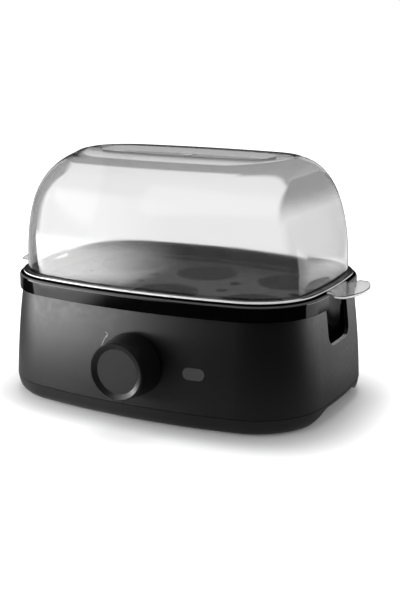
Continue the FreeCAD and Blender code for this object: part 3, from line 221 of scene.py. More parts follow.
# Tone of the painted highlight on the lid's edges from outside, and of painted shade on them through the
# plastic
EDGE_HIGHLIGHT_TONE = 0.88
EDGE_SHADE_THROUGH = 0.1

# Largest angles that are shaded smooth, in degrees
DOME_SMOOTH = 32.0
TAB_SMOOTH = 30.0

# Lifting tabs, in millimetres
TAB_THICK = 1.7
TAB_DROP = 1.3
TAB_ROOT = 13.9
TAB_HALF_WIDTH = 21.2
TAB_NECK = 2.8
TAB_WIDE = 7.0
TAB_END = 18.0
TAB_BOW = 40.0
TAB_ROUND = 4.0
TAB_EDGE = 0.35
TAB_SEAM = 0.04

# Printed turning mark on the front wall, round the dial axis, in millimetres and degrees
DIAL_X = 3.8
DIAL_Z = 34.6
MARK_RADIUS = 22.5
MARK_FROM = 162.0
MARK_TO = 141.0
MARK_WIDTH = 0.55
MARK_RAISE = 0.05
MARK_STEPS = 24
RAY_START = 100.0
CHEVRON_ARM = 2.2
CHEVRON_HALF_ANGLE = 48.0
CHEVRON_LEAN = 30.0

# Pointer tick on the dial's rim: distances from the dial axis and width, in millimetres
TICK_OUTER = 16.0
TICK_MIDDLE = 15.4
TICK_INNER = 12.8
TICK_WIDTH = 0.9


def grey(level):
    return (level, level, level, 1.0)


# Materials

def new_material(name):
    material = bpy.data.materials.new(name)
    material.use_nodes = True
    tree = material.node_tree
    return material, tree.nodes, tree.links, tree.nodes["Principled BSDF"]


def mix(nodes, links, share, first, second):
    blend = nodes.new("ShaderNodeMixShader")
    links.new(share, blend.inputs["Fac"])
    links.new(first, blend.inputs[1])
    links.new(second, blend.inputs[2])
    return blend.outputs["Shader"]


def combine(nodes, links, operation, first, second):
    maths = nodes.new("ShaderNodeMath")
    maths.operation = operation
    links.new(first, maths.inputs[0])
    links.new(second, maths.inputs[1])
    return maths.outputs["Value"]


def combine_all(nodes, links, operation, sources):
    result = sources[0]
    for other in sources[1:]:
        result = combine(nodes, links, operation, result, other)
    return result


def spread(nodes, links, source, band, values):
    """Smooth step of a source over a band, from the first value to the second."""
    ramp = nodes.new("ShaderNodeMapRange")
    ramp.interpolation_type = "SMOOTHSTEP"
    ramp.inputs["From Min"].default_value = band[0]
    ramp.inputs["From Max"].default_value = band[1]
    ramp.inputs["To Min"].default_value = values[0]
    ramp.inputs["To Max"].default_value = values[1]
    links.new(source, ramp.inputs["Value"])
    return ramp.outputs["Result"]


def place_axes(nodes, links, kind):
    place = nodes.new("ShaderNodeTexCoord")
    split = nodes.new("ShaderNodeSeparateXYZ")
    links.new(place.outputs[kind], split.inputs["Vector"])
    return split.outputs


def facing_axes(nodes, links, kind):
    shape = nodes.new("ShaderNodeNewGeometry")
    split = nodes.new("ShaderNodeSeparateXYZ")
    links.new(shape.outputs[kind], split.inputs["Vector"])
    return split.outputs


def behind(nodes):
    return nodes.new("ShaderNodeNewGeometry").outputs["Backfacing"]


def absolute(nodes, links, source):
    size = nodes.new("ShaderNodeMath")
    size.operation = "ABSOLUTE"
    links.new(source, size.inputs[0])
    return size.outputs["Value"]


def object_noise(nodes, links, scale, detail=FINE_DETAIL, stretch=None):
    place = nodes.new("ShaderNodeTexCoord")
    noise = nodes.new("ShaderNodeTexNoise")
    noise.inputs["Scale"].default_value = scale
    noise.inputs["Detail"].default_value = detail
    if stretch is None:
        links.new(place.outputs["Object"], noise.inputs["Vector"])
        return noise
    mapping = nodes.new("ShaderNodeMapping")
    mapping.inputs["Scale"].default_value = stretch
    links.new(place.outputs["Object"], mapping.inputs["Vector"])
    links.new(mapping.outputs["Vector"], noise.inputs["Vector"])
    return noise


def vary_roughness(nodes, links, shader, noise, low, high):
    shader.inputs["Roughness"].default_value = (low + high) / 2.0
    rough = spread(nodes, links, noise.outputs["Fac"], NOISE_BAND, (low, high))
    links.new(rough, shader.inputs["Roughness"])


def add_bump(nodes, links, shader, noise, strength, distance_mm):
    bump = nodes.new("ShaderNodeBump")
    bump.inputs["Strength"].default_value = strength
    bump.inputs["Distance"].default_value = distance_mm * MM
    links.new(noise.outputs["Fac"], bump.inputs["Height"])
    links.new(bump.outputs["Normal"], shader.inputs["Normal"])


def surface(name, colour, rough, swing, grain, bump, height_mm, metal=0.0, stretch=None, specular=0.5):
    material, nodes, links, shader = new_material(name)
    shader.inputs["Base Color"].default_value = colour
    shader.inputs["Metallic"].default_value = metal
    shader.inputs["Specular IOR Level"].default_value = specular
    coarse = object_noise(nodes, links, grain * COARSE_SHARE, COARSE_DETAIL, stretch)
    vary_roughness(nodes, links, shader, coarse, rough - swing, rough + swing)
    fine = object_noise(nodes, links, grain, FINE_DETAIL, stretch)
    add_bump(nodes, links, shader, fine, bump, height_mm)
    return material


def satin_black():
    """Satin wall; a painted highlight makes the upward cut edge of each grip slot paler."""
    material = surface("satin_black", grey(SHELL_TONE),
                       rough=0.43, swing=0.03, grain=2600.0, bump=0.2, height_mm=0.02, specular=0.65)
    nodes = material.node_tree.nodes
    links = material.node_tree.links
    # Painted highlight on the upward cut faces of the slots
    level = spread(nodes, links, facing_axes(nodes, links, "True Normal")["Z"], SILL_HIGHLIGHT_FACING, FADE_IN)
    raised = spread(nodes, links, place_axes(nodes, links, "Object")["Z"], SILL_HIGHLIGHT_HEIGHTS, FADE_IN)
    sill_highlight = combine(nodes, links, "MULTIPLY", level, raised)
    tone = spread(nodes, links, sill_highlight, WHOLE, (SHELL_TONE, SILL_HIGHLIGHT_TONE))
    links.new(tone, nodes["Principled BSDF"].inputs["Base Color"])
    return material


def gloss_black():
    """Glossy wall; faces that lean upwards get a painted highlight, and flat faces under the lid get
    painted shade, dark and with no reflection.
    """
    material, nodes, links, shader = new_material("gloss_black")
    shader.inputs["Base Color"].default_value = grey(FRAME_TONE)
    upward = facing_axes(nodes, links, "True Normal")["Z"]
    # Painted highlight on faces that lean upwards, painted shade on flat faces
    turned_highlight = spread(nodes, links, upward, FRAME_HIGHLIGHT_TURN, (FRAME_TONE, FRAME_HIGHLIGHT_TONE))
    level = spread(nodes, links, upward, FRAME_SHADED_LEVEL, (1.0, FRAME_LEVEL_SHADE_SHARE))
    links.new(combine(nodes, links, "MULTIPLY", turned_highlight, level), shader.inputs["Base Color"])
    # Painted shade: flat faces lose their reflection
    gloss = spread(nodes, links, upward, FRAME_REFLECTION_FADE, (FRAME_GLOSS, 0.0))
    links.new(gloss, shader.inputs["Specular IOR Level"])
    coarse = object_noise(nodes, links, scale=50.0, detail=COARSE_DETAIL)
    vary_roughness(nodes, links, shader, coarse, low=0.05, high=0.09)
    fine = object_noise(nodes, links, scale=420.0)
    add_bump(nodes, links, shader, fine, strength=0.03, distance_mm=0.02)
    return material


def dial_black():
    return surface("dial_black", grey(0.004),
                   rough=0.32, swing=0.02, grain=2800.0, bump=0.02, height_mm=0.01)


def dial_disc():
    return surface("dial_disc", grey(0.022),
                   rough=0.42, swing=0.04, grain=3000.0, bump=0.15, height_mm=0.015)


def tray_grey():
    return surface("tray_grey", grey(0.022),
                   rough=0.5, swing=0.05, grain=1800.0, bump=0.2, height_mm=0.02, specular=0.03)


def lens_grey():
    return surface("lens_grey", (0.062, 0.062, 0.064, 1.0),
                   rough=0.24, swing=0.03, grain=900.0, bump=0.1, height_mm=0.01)


def print_grey():
    return surface("print_grey", grey(0.26),
                   rough=0.5, swing=0.05, grain=3000.0, bump=0.15, height_mm=0.01)


def tick_black():
    return surface("tick_black", grey(0.002),
                   rough=0.5, swing=0.05, grain=3000.0, bump=0.1, height_mm=0.01)


def rubber_black():
    return surface("rubber_black", grey(0.013),
                   rough=0.72, swing=0.06, grain=2200.0, bump=0.4, height_mm=0.04)


def silicone_grey():
    return surface("silicone_grey", (0.30, 0.31, 0.32, 1.0),
                   rough=0.6, swing=0.06, grain=1500.0, bump=0.3, height_mm=0.03)


def coated_dish():
    return surface("coated_dish", (0.055, 0.056, 0.058, 1.0),
                   rough=0.46, swing=0.07, grain=2400.0, bump=0.35, height_mm=0.03)


def bright_steel():
    return surface("bright_steel", (0.62, 0.62, 0.60, 1.0),
                   rough=0.27, swing=0.08, grain=1600.0, bump=0.2, height_mm=0.01, metal=1.0,
                   stretch=BRUSH_STRETCH)


def heater_sheath():
    return surface("heater_sheath", (0.16, 0.15, 0.14, 1.0),
                   rough=0.5, swing=0.1, grain=1900.0, bump=0.35, height_mm=0.02, metal=1.0)


def phenolic():
    return surface("phenolic", (0.045, 0.024, 0.014, 1.0),
                   rough=0.38, swing=0.06, grain=1700.0, bump=0.25, height_mm=0.02)


def fuse_metal():
    return surface("fuse_metal", (0.56, 0.50, 0.36, 1.0),
                   rough=0.3, swing=0.07, grain=1500.0, bump=0.2, height_mm=0.01, metal=1.0)


def steatite():
    return surface("steatite", (0.72, 0.70, 0.64, 1.0),
                   rough=0.62, swing=0.07, grain=1800.0, bump=0.35, height_mm=0.03)


def component_black():
    return surface("component_black", grey(0.018),
                   rough=0.45, swing=0.06, grain=2300.0, bump=0.25, height_mm=0.02)


def block_white():
    return surface("block_white", (0.70, 0.70, 0.67, 1.0),
                   rough=0.4, swing=0.05, grain=1600.0, bump=0.2, height_mm=0.02)


def lead_cover(name, colour):
    return surface(name, colour, rough=0.46, swing=0.06, grain=2000.0, bump=0.3, height_mm=0.03)


def board_green():
    material, nodes, links, shader = new_material("board_green")
    place = nodes.new("ShaderNodeTexCoord")
    tracks = nodes.new("ShaderNodeTexBrick")
    tracks.inputs["Scale"].default_value = 260.0
    tracks.inputs["Mortar Size"].default_value = 0.05
    tracks.inputs["Color1"].default_value = (0.012, 0.085, 0.035, 1.0)
    tracks.inputs["Color2"].default_value = (0.014, 0.10, 0.042, 1.0)
    tracks.inputs["Mortar"].default_value = (0.03, 0.17, 0.075, 1.0)
    turn = nodes.new("ShaderNodeMapping")
    turn.inputs["Rotation"].default_value = (math.radians(90.0), 0.0, 0.0)
    links.new(place.outputs["Object"], turn.inputs["Vector"])
    links.new(turn.outputs["Vector"], tracks.inputs["Vector"])
    links.new(tracks.outputs["Color"], shader.inputs["Base Color"])
    noise = object_noise(nodes, links, scale=700.0)
    vary_roughness(nodes, links, shader, noise, low=0.28, high=0.42)
    add_bump(nodes, links, shader, noise, strength=0.15, distance_mm=0.01)
    return material


def shadow_free(material, nodes, links, shader, share):
    """Let a share of the light through in place of a solid shadow."""
    clear = nodes.new("ShaderNodeBsdfTransparent")
    clear.inputs["Color"].default_value = grey(share)
    shadow = nodes.new("ShaderNodeLightPath").outputs["Is Shadow Ray"]
    faded = mix(nodes, links, shadow, shader.outputs["BSDF"], clear.outputs["BSDF"])
    links.new(faded, nodes["Material Output"].inputs["Surface"])
    return material


def clear_plastic(name, tint, rough, swing, index, share):
    material, nodes, links, shader = new_material(name)
    shader.inputs["Base Color"].default_value = tint
    shader.inputs["Transmission Weight"].default_value = 1.0
    shader.inputs["IOR"].default_value = index
    noise = object_noise(nodes, links, scale=35.0, detail=2.0)
    vary_roughness(nodes, links, shader, noise, rough - swing, rough + swing)
    return shadow_free(material, nodes, links, shader, share)


def smoke_clear():
    """Faintly smoky plastic, with painted shade at the crown, the ends, the shoulders and the corners."""
    material = clear_plastic("smoke_clear", grey(SMOKE_TONE),
                             rough=0.07, swing=0.02, index=SMOKE_INDEX, share=SMOKE_SHADOW)
    nodes = material.node_tree.nodes
    links = material.node_tree.links
    # Painted shade tones laid over the plastic's own tone
    shade_tones = crown_shade_tones(nodes, links) + end_shade_tones(nodes, links)
    links.new(combine_all(nodes, links, "MINIMUM", shade_tones), nodes["Principled BSDF"].inputs["Base Color"])
    return material


def crown_shade_tones(nodes, links):
    """Painted shade tones of the crown and of the line along its edge."""
    height = place_axes(nodes, links, "Object")["Z"]
    upward = facing_axes(nodes, links, "Normal")["Z"]
    crown = [spread(nodes, links, height, CROWN_HEIGHTS, FADE_IN)]
    brow = [spread(nodes, links, upward, BROW_FROM, FADE_IN),
            spread(nodes, links, upward, BROW_TO, FADE_OUT)]
    return [painted_shade_where(nodes, links, CROWN_SHADE_TONE, crown), painted_shade_where(nodes, links, LINE_SHADE_TONE, brow)]


def end_shade_tones(nodes, links):
    """Painted shade tones of the end walls, of their shoulders, and of the corners seen at a grazing
    angle.
    """
    height = place_axes(nodes, links, "Object")["Z"]
    endward = absolute(nodes, links, facing_axes(nodes, links, "Normal")["X"])
    grazing = nodes.new("ShaderNodeLayerWeight").outputs["Facing"]
    ends = [spread(nodes, links, endward, END_LEAN, FADE_IN)]
    shoulders = [spread(nodes, links, endward, SHOULDER_LEAN, FADE_IN),
                 spread(nodes, links, height, SHOULDER_HEIGHTS, FADE_IN)]
    corners = [spread(nodes, links, endward, CORNER_FROM, FADE_IN),
               spread(nodes, links, endward, CORNER_TO, FADE_OUT),
               spread(nodes, links, grazing, GRAZING_FROM, FADE_IN),
               spread(nodes, links, grazing, GRAZING_TO, FADE_OUT)]
    return [painted_shade_where(nodes, links, END_SHADE_TONE, ends),
            painted_shade_where(nodes, links, SHOULDER_SHADE_TONE, shoulders),
            painted_shade_where(nodes, links, LINE_SHADE_TONE, corners)]


def painted_shade_where(nodes, links, tone, shares):
    """A painted shade tone by the product of its shares, only where light enters the plastic from outside.
    """
    outside = spread(nodes, links, behind(nodes), WHOLE, FADE_OUT)
    share = combine_all(nodes, links, "MULTIPLY", [outside] + shares)
    return spread(nodes, links, share, WHOLE, (SMOKE_TONE, tone))


def smoke_inner():
    return clear_plastic("smoke_inner", grey(SMOKE_TONE),
                         rough=0.07, swing=0.02, index=SMOKE_INDEX, share=SMOKE_SHADOW)


def edge_highlight():
    """Painted highlight from outside, painted shade when seen through the plastic from behind."""
    material = surface("edge_highlight", grey(EDGE_HIGHLIGHT_TONE),
                       rough=0.2, swing=0.04, grain=900.0, bump=0.05, height_mm=0.01)
    nodes = material.node_tree.nodes
    links = material.node_tree.links
    # Painted highlight outside, painted shade from behind
    tone = spread(nodes, links, behind(nodes), WHOLE, (EDGE_HIGHLIGHT_TONE, EDGE_SHADE_THROUGH))
    links.new(tone, nodes["Principled BSDF"].inputs["Base Color"])
    return material


def frosted_step():
    """Dull finish of the step round the sunk panel."""
    return surface("frosted_step", grey(0.28),
                   rough=0.5, swing=0.05, grain=900.0, bump=0.05, height_mm=0.01)


def ledge_shade():
    """Painted shade on the flange above and below its bright edge."""
    return surface("ledge_shade", grey(0.012),
                   rough=0.4, swing=0.05, grain=900.0, bump=0.05, height_mm=0.01, specular=0.15)


def lamp_clear():
    return clear_plastic("lamp_clear", (0.95, 0.96, 0.96, 1.0),
                         rough=0.06, swing=0.02, index=1.5, share=0.9)


def dress(material, *names):
    for name in names:
        slots = NODES[name].data.materials
        slots.clear()
        slots.append(material)


def dress_outside():
    dress(satin_black(), "outer_shell", "base_pan")
    dress(gloss_black(), "upper_frame")
    dress(tray_grey(), "egg_tray")
    dress(dial_black(), "knob")
    dress(dial_disc(), "knob_cap")
    dress(lens_grey(), "indicator_lens")
    dress(rubber_black(), "rubber_feet", "cord_grommet")
    dress(silicone_grey(), "dish_gasket")
    dress(coated_dish(), "water_dish")


def dress_inside():
    dress(bright_steel(), "dial_shaft", "base_screws", "dish_screws", "dish_clamps", "heater_pins",
          "thermostat_strap", "strap_nuts", "board_screws")
    dress(steatite(), "fuse_cradle")
    dress(heater_sheath(), "heating_element")
    dress(phenolic(), "thermostat")
    dress(fuse_metal(), "thermal_fuse")
    dress(board_green(), "control_board")
    dress(component_black(), "relay", "buzzer", "rotary_control")
    dress(lamp_clear(), "indicator_lamp")
    dress(block_white(), "terminal_block")
    dress(lead_cover("lead_blue", (0.02, 0.09, 0.36, 1.0)), "neutral_lead")
    dress(lead_cover("lead_brown", (0.11, 0.045, 0.018, 1.0)), "live_lead")
    dress(lead_cover("lead_white", (0.68, 0.67, 0.63, 1.0)), "heater_lead", "fuse_lead")
    dress(lead_cover("lead_green", (0.05, 0.28, 0.07, 1.0)), "earth_lead")


# Printed and small pieces

def new_piece(name, points, faces, material):
    mesh = bpy.data.meshes.new(name)
    mesh.from_pydata(points, [], faces)
    mesh.validate()
    mesh.update()
    piece = bpy.data.objects.new(name, mesh)
    bpy.context.scene.collection.objects.link(piece)
    piece.data.materials.append(material)
    return piece


def node_tree(name):
    mesh = NODES[name].data
    corners = [vertex.co.copy() for vertex in mesh.vertices]
    return BVHTree.FromPolygons(corners, [tuple(face.vertices) for face in mesh.polygons])


def front_point(tree, x, z, raise_mm):
    start = Vector((x * MM, cad_bounds[0][1] - RAY_START * MM, z * MM))
    hit = tree.ray_cast(start, Vector((0.0, 1.0, 0.0)))[0]
    return Vector((hit.x, hit.y - raise_mm * MM, hit.z))


def ribbon(name, tree, path, width, material):
    """A thin raised strip along a path on the front of a solid."""
    points = []
    faces = []
    for index, (x, z) in enumerate(path):
        before = path[max(index - 1, 0)]
        after = path[min(index + 1, len(path) - 1)]
        run = Vector((after[0] - before[0], after[1] - before[1])).normalized()
        for side in (-0.5, 0.5):
            across = (x - run.y * width * side, z + run.x * width * side)
            points.append(front_point(tree, across[0], across[1], MARK_RAISE))
            points.append(front_point(tree, across[0], across[1], -MARK_RAISE))
    for index in range(len(path) - 1):
        near = 4 * index
        far = near + 4
        faces.append((near, near + 2, far + 2, far))
        faces.append((near + 1, far + 1, far + 3, near + 3))
        faces.append((near, far, far + 1, near + 1))
        faces.append((near + 2, near + 3, far + 3, far + 2))
    last = 4 * (len(path) - 1)
    faces.append((0, 1, 3, 2))
    faces.append((last, last + 2, last + 3, last + 1))
    return new_piece(name, points, faces, material)


def round_dial(angle, radius):
    turn = math.radians(angle)
    return (DIAL_X + radius * math.cos(turn), DIAL_Z + radius * math.sin(turn))


def turning_mark(tree, material):
    span = MARK_TO - MARK_FROM
    angles = [MARK_FROM + span * step / MARK_STEPS for step in range(MARK_STEPS + 1)]
    path = [round_dial(angle, MARK_RADIUS) for angle in angles]
    shaft = ribbon("mark_arc", tree, path, MARK_WIDTH, material)
    tip = path[-1]
    heading = MARK_TO - 90.0 - CHEVRON_LEAN
    arms = []
    for side in (-1.0, 1.0):
        turn = math.radians(heading + 180.0 + side * CHEVRON_HALF_ANGLE)
        arms.append((tip[0] + CHEVRON_ARM * math.cos(turn), tip[1] + CHEVRON_ARM * math.sin(turn)))
    chevron = ribbon("mark_chevron", tree, [arms[0], tip, arms[1]], MARK_WIDTH, material)
    for piece in (shaft, chevron):
        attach(piece, "base")


def dial_tick(tree, material):
    path = [(DIAL_X - TICK_OUTER, DIAL_Z), (DIAL_X - TICK_MIDDLE, DIAL_Z), (DIAL_X - TICK_INNER, DIAL_Z)]
    tick = ribbon("dial_tick", tree, path, TICK_WIDTH, material)
    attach(tick, "dial")


def add_marks():
    turning_mark(node_tree("outer_shell"), print_grey())
    dial_tick(node_tree("knob"), tick_black())


# Lid

def arc(centre, radius, start, stop, steps):
    turns = [start + (stop - start) * step / steps for step in range(steps)]
    return [(centre[0] + radius * math.cos(turn), centre[1] + radius * math.sin(turn)) for turn in turns]


def corner_centre(half_width, half_depth, corner):
    reach = FRONT_BOW - half_depth
    span = END_BOW - half_width
    apart = math.hypot(reach, span)
    front = FRONT_BOW - corner
    end = END_BOW - corner
    along = (front ** 2 - end ** 2 + apart ** 2) / (2.0 * apart)
    across = math.sqrt(front ** 2 - along ** 2)
    return (across * reach - along * span) / apart, (along * reach + across * span) / apart - reach


def plan_ring(half_width, half_depth, corner, height):
    """Points of a bowed, round-cornered outline at one height, all the way round."""
    x, y = corner_centre(half_width, half_depth, corner)
    end_turn = math.atan2(y, x + END_BOW - half_width)
    front_turn = math.pi / 2.0 - math.atan2(x, y + FRONT_BOW - half_depth)
    quarter = arc((half_width - END_BOW, 0.0), END_BOW, 0.0, end_turn, END_STEPS)
    quarter += arc((x, y), corner, end_turn, front_turn, CORNER_STEPS)
    quarter += arc((0.0, half_depth - FRONT_BOW), FRONT_BOW, front_turn, math.pi / 2.0, FRONT_STEPS)
    quarter.append((0.0, half_depth))
    there = quarter[:-1]
    back = quarter[:0:-1]
    ring = there + [(-px, py) for px, py in back]
    ring += [(-px, -py) for px, py in there] + [(px, -py) for px, py in back]
    return [(px, py, height) for px, py in ring]


def round_ring(radius, like, height):
    turns = [math.atan2(point[1] / PANEL_HALF_DEPTH, point[0] / PANEL_HALF_WIDTH) for point in like]
    return [(radius * math.cos(turn), radius * math.sin(turn), height) for turn in turns]


def corner_limit(half_width, half_depth):
    return LID_CORNER_SHARE * (half_depth - half_width ** 2 / (2.0 * FRONT_BOW))


def dome_ring(share, thinner):
    end_in = LID_END_RUN * (1.0 - (1.0 - share ** LID_END_POWER) ** (1.0 / LID_END_TURN))
    front_in = LID_FRONT_RUN * (1.0 - (1.0 - share ** LID_FRONT_POWER) ** (1.0 / LID_FRONT_TURN))
    half_width = FLANGE_HALF_WIDTH - LID_INSET - thinner - end_in
    half_depth = FLANGE_HALF_DEPTH - LID_INSET - thinner - front_in
    foot_corner = FLANGE_CORNER - LID_INSET - thinner
    corner = foot_corner * (1.0 - share) + (LID_CORNER_TOP - thinner) * share
    corner = min(corner, corner_limit(half_width, half_depth))
    height = LID_FOOT + share * (LID_TOP - thinner - LID_FOOT)
    return plan_ring(half_width, half_depth, corner, height)


def dome_shares(lowest):
    steps = [1.0 - (1.0 - step / DOME_STEPS) ** DOME_CROWD for step in range(DOME_STEPS + 1)]
    return [lowest] + [share for share in steps if share > lowest]


def panel_ring(smaller, height):
    half_width = PANEL_HALF_WIDTH - smaller
    half_depth = PANEL_HALF_DEPTH - smaller
    return plan_ring(half_width, half_depth, PANEL_CORNER - smaller, height)


def flange_ring(smaller, height):
    half_width = FLANGE_HALF_WIDTH - smaller
    half_depth = FLANGE_HALF_DEPTH - smaller
    return plan_ring(half_width, half_depth, FLANGE_CORNER - smaller, height)


def lid_rings():
    """Closed run of outlines: down the outside of the lid, round the flange and up the inside."""
    rim = LID_FOOT + FLANGE_THICK
    low = panel_ring(PANEL_SLOPE, LID_TOP - PANEL_SINK)
    rings = [round_ring(VENT_RADIUS, low, LID_TOP - PANEL_SINK), low, panel_ring(0.0, LID_TOP)]
    lowest = FLANGE_THICK / (LID_TOP - LID_FOOT)
    rings += [dome_ring(share, 0.0) for share in reversed(dome_shares(lowest))]
    edge = len(rings)
    rings += [flange_ring(FLANGE_ROUND, rim), flange_ring(0.0, rim - FLANGE_ROUND)]
    rings.append(flange_ring(0.0, rim - FLANGE_BRIGHT))
    rings += [flange_ring(0.0, LID_FOOT + FLANGE_ROUND), flange_ring(FLANGE_ROUND, LID_FOOT)]
    rings += [dome_ring(share, LID_WALL) for share in dome_shares(0.0)]
    under = LID_TOP - PANEL_SINK - LID_WALL
    rings += [panel_ring(0.0, LID_TOP - LID_WALL), panel_ring(0.0, under)]
    rings.append(round_ring(VENT_RADIUS, low, under))
    return rings, edge


def skin(name, rings, material, closed, sharp):
    """A mesh of quads between outlines with equal numbers of points, smooth but for its sharp edges."""
    count = len(rings[0])
    points = [Vector(point) * MM for ring in rings for point in ring]
    faces = []
    for level in range(len(rings) if closed else len(rings) - 1):
        here = level * count
        there = (level + 1) % len(rings) * count
        for step in range(count):
            after = (step + 1) % count
            faces.append((here + step, there + step, there + after, here + after))
    if not closed:
        faces.append(tuple(range(count)))
        faces.append(tuple(reversed(range((len(rings) - 1) * count, len(rings) * count))))
    piece = new_piece(name, points, faces, material)
    piece.data.shade_smooth()
    piece.data.set_sharp_from_angle(angle=math.radians(sharp))
    return piece


def tab_half(smaller):
    """Half of a tab's plan, from its root at the flange to the middle of its bowed end."""
    root = FLANGE_HALF_WIDTH + TAB_SEAM - TAB_ROOT ** 2 / (2.0 * END_BOW)
    inner = TAB_BOW - TAB_ROUND
    wide = TAB_HALF_WIDTH - TAB_ROUND
    middle = FLANGE_HALF_WIDTH + TAB_END - TAB_BOW
    turn = math.asin(wide / inner)
    corner = (middle + inner * math.cos(turn), wide)
    half = [(root, TAB_ROOT - smaller), (FLANGE_HALF_WIDTH + TAB_NECK, TAB_ROOT - smaller),
            (FLANGE_HALF_WIDTH + TAB_WIDE, TAB_HALF_WIDTH - smaller)]
    half += arc(corner, TAB_ROUND - smaller, math.pi / 2.0, turn, CORNER_STEPS)
    half += arc((middle, 0.0), TAB_BOW - smaller, turn, 0.0, CORNER_STEPS)
    return half + [(middle + TAB_BOW - smaller, 0.0)]


def tab_ring(side, smaller, height):
    half = tab_half(smaller)
    whole = [(x, -y) for x, y in half[:-1]] + half[::-1]
    return [(side * x, side * y, height) for x, y in whole]


def lifting_tab(name, side, material):
    top = LID_FOOT + FLANGE_THICK - TAB_DROP
    foot = top - TAB_THICK
    rings = [tab_ring(side, TAB_EDGE, top), tab_ring(side, 0.0, top - TAB_EDGE),
             tab_ring(side, 0.0, foot + TAB_EDGE), tab_ring(side, TAB_EDGE, foot)]
    return skin(name, rings, material, False, TAB_SMOOTH)


def finish_rings(piece, first, last, count, material):
    """Give the faces between two outlines of a skin their own material."""
    piece.data.materials.append(material)
    for face in piece.data.polygons[first * count:last * count]:
        face.material_index = len(piece.data.materials) - 1


def finish_dome(dome, rings, edge, bright):
    """Painted highlight on the flange edge and vent wall, painted shade on the ledges beside the edge,
    plain inside and dull panel steps.
    """
    count = len(rings[0])
    end = len(rings)
    # Painted shade on the ledges beside the flange's painted highlight
    shaded_ledge = ledge_shade()
    step = frosted_step()
    finish_rings(dome, edge + 1, edge + 2, count, bright)
    finish_rings(dome, edge - 1, edge, count, shaded_ledge)
    finish_rings(dome, edge + 2, edge + 4, count, shaded_ledge)
    finish_rings(dome, edge + 4, end, count, smoke_inner())
    finish_rings(dome, 1, 2, count, step)
    finish_rings(dome, end - 3, end - 2, count, step)
    finish_rings(dome, end - 1, end, count, bright)


def add_lid():
    material = smoke_clear()
    rings, edge = lid_rings()
    dome = skin("lid_dome", rings, material, True, DOME_SMOOTH)
    bright = edge_highlight()
    finish_dome(dome, rings, edge, bright)
    tabs = [lifting_tab("lid_tab_right", 1.0, material), lifting_tab("lid_tab_left", -1.0, material)]
    # Painted highlight along the side edge of each tab
    for tab in tabs:
        finish_rings(tab, 1, 2, len(tab_ring(1.0, 0.0, 0.0)), bright)
    for piece in [dome] + tabs:
        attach(piece, "lid")
        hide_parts("lid")


# Stage, lamps and camera

def stage_piece(name, corners, material):
    piece = new_piece(name, [Vector(corner) * MM for corner in corners], [(0, 1, 2, 3)], material)
    return piece


def floor_lift(nodes, links, place):
    """Glow of the floor, dipping round the foot as a painted shadow over the cast one, and full white far
    away.
    """
    shrunk = nodes.new("ShaderNodeVectorMath")
    shrunk.operation = "MULTIPLY"
    shrunk.inputs[1].default_value = (1.0 / (FOOT_HALF_WIDTH * MM), 1.0 / (FOOT_HALF_DEPTH * MM), 0.0)
    links.new(place, shrunk.inputs[0])
    square = nodes.new("ShaderNodeVectorMath")
    square.operation = "MULTIPLY"
    links.new(shrunk.outputs["Vector"], square.inputs[0])
    links.new(shrunk.outputs["Vector"], square.inputs[1])
    away = nodes.new("ShaderNodeVectorMath")
    away.operation = "LENGTH"
    links.new(square.outputs["Vector"], away.inputs[0])
    # Painted shadow: the glow dips round the foot
    shadow_dip = spread(nodes, links, away.outputs["Value"], PAINTED_SHADOW_REACH, PAINTED_SHADOW_GLOW)
    wide = spread(nodes, links, away.outputs["Value"], FLOOR_REACH, FLOOR_GLOW)
    return combine(nodes, links, "ADD", shadow_dip, wide)


def floor_in_walls(nodes, links, far):
    """Brightness of the floor in the walls: soft round the foot, brighter behind the right end."""
    place = place_axes(nodes, links, "Object")
    near = spread(nodes, links, far, MIRROR_NEAR, MIRROR_NEAR_GLOW)
    left = spread(nodes, links, place["X"], MIRROR_LEFT, MIRROR_LEFT_SHARE)
    rear = spread(nodes, links, place["Y"], MIRROR_REAR, MIRROR_REAR_GLOW)
    clear = spread(nodes, links, place["X"], MIRROR_CLEAR, MIRROR_CLEAR_SHARE)
    short = spread(nodes, links, place["X"], MIRROR_SHORT, FADE_OUT)
    lit = combine_all(nodes, links, "MULTIPLY", [rear, clear, short])
    return combine(nodes, links, "MAXIMUM", combine(nodes, links, "MULTIPLY", near, left), lit)


def floor_material():
    """Pale floor that keeps its shadow, white through the lid except near the foot where shadow is
    painted, dim in reflections.
    """
    material, nodes, links, shader = new_material("floor_pale")
    shader.inputs["Base Color"].default_value = grey(FLOOR_TONE)
    shader.inputs["Roughness"].default_value = FLOOR_ROUGH
    shader.inputs["Specular IOR Level"].default_value = 0.0
    path = nodes.new("ShaderNodeLightPath")
    place = nodes.new("ShaderNodeTexCoord")
    far = nodes.new("ShaderNodeVectorMath")
    far.operation = "LENGTH"
    links.new(place.outputs["Object"], far.inputs[0])
    lift = floor_lift(nodes, links, place.outputs["Object"])
    shader.inputs["Emission Color"].default_value = grey(1.0)
    links.new(combine(nodes, links, "MULTIPLY", path.outputs["Is Camera Ray"], lift),
              shader.inputs["Emission Strength"])
    white = nodes.new("ShaderNodeEmission")
    # Painted shadow: the floor seen through the lid is dim near the foot
    bright = spread(nodes, links, far.outputs["Value"], THROUGH_REACH, THROUGH_GLOW)
    links.new(bright, white.inputs["Strength"])
    dark = nodes.new("ShaderNodeEmission")
    links.new(floor_in_walls(nodes, links, far.outputs["Value"]), dark.inputs["Strength"])
    mirrored = combine(nodes, links, "GREATER_THAN", path.outputs["Is Glossy Ray"],
                       path.outputs["Is Transmission Ray"])
    through = mix(nodes, links, path.outputs["Is Transmission Ray"], shader.outputs["BSDF"],
                  white.outputs["Emission"])
    ground = mix(nodes, links, mirrored, through, dark.outputs["Emission"])
    links.new(ground, nodes["Material Output"].inputs["Surface"])
    return material


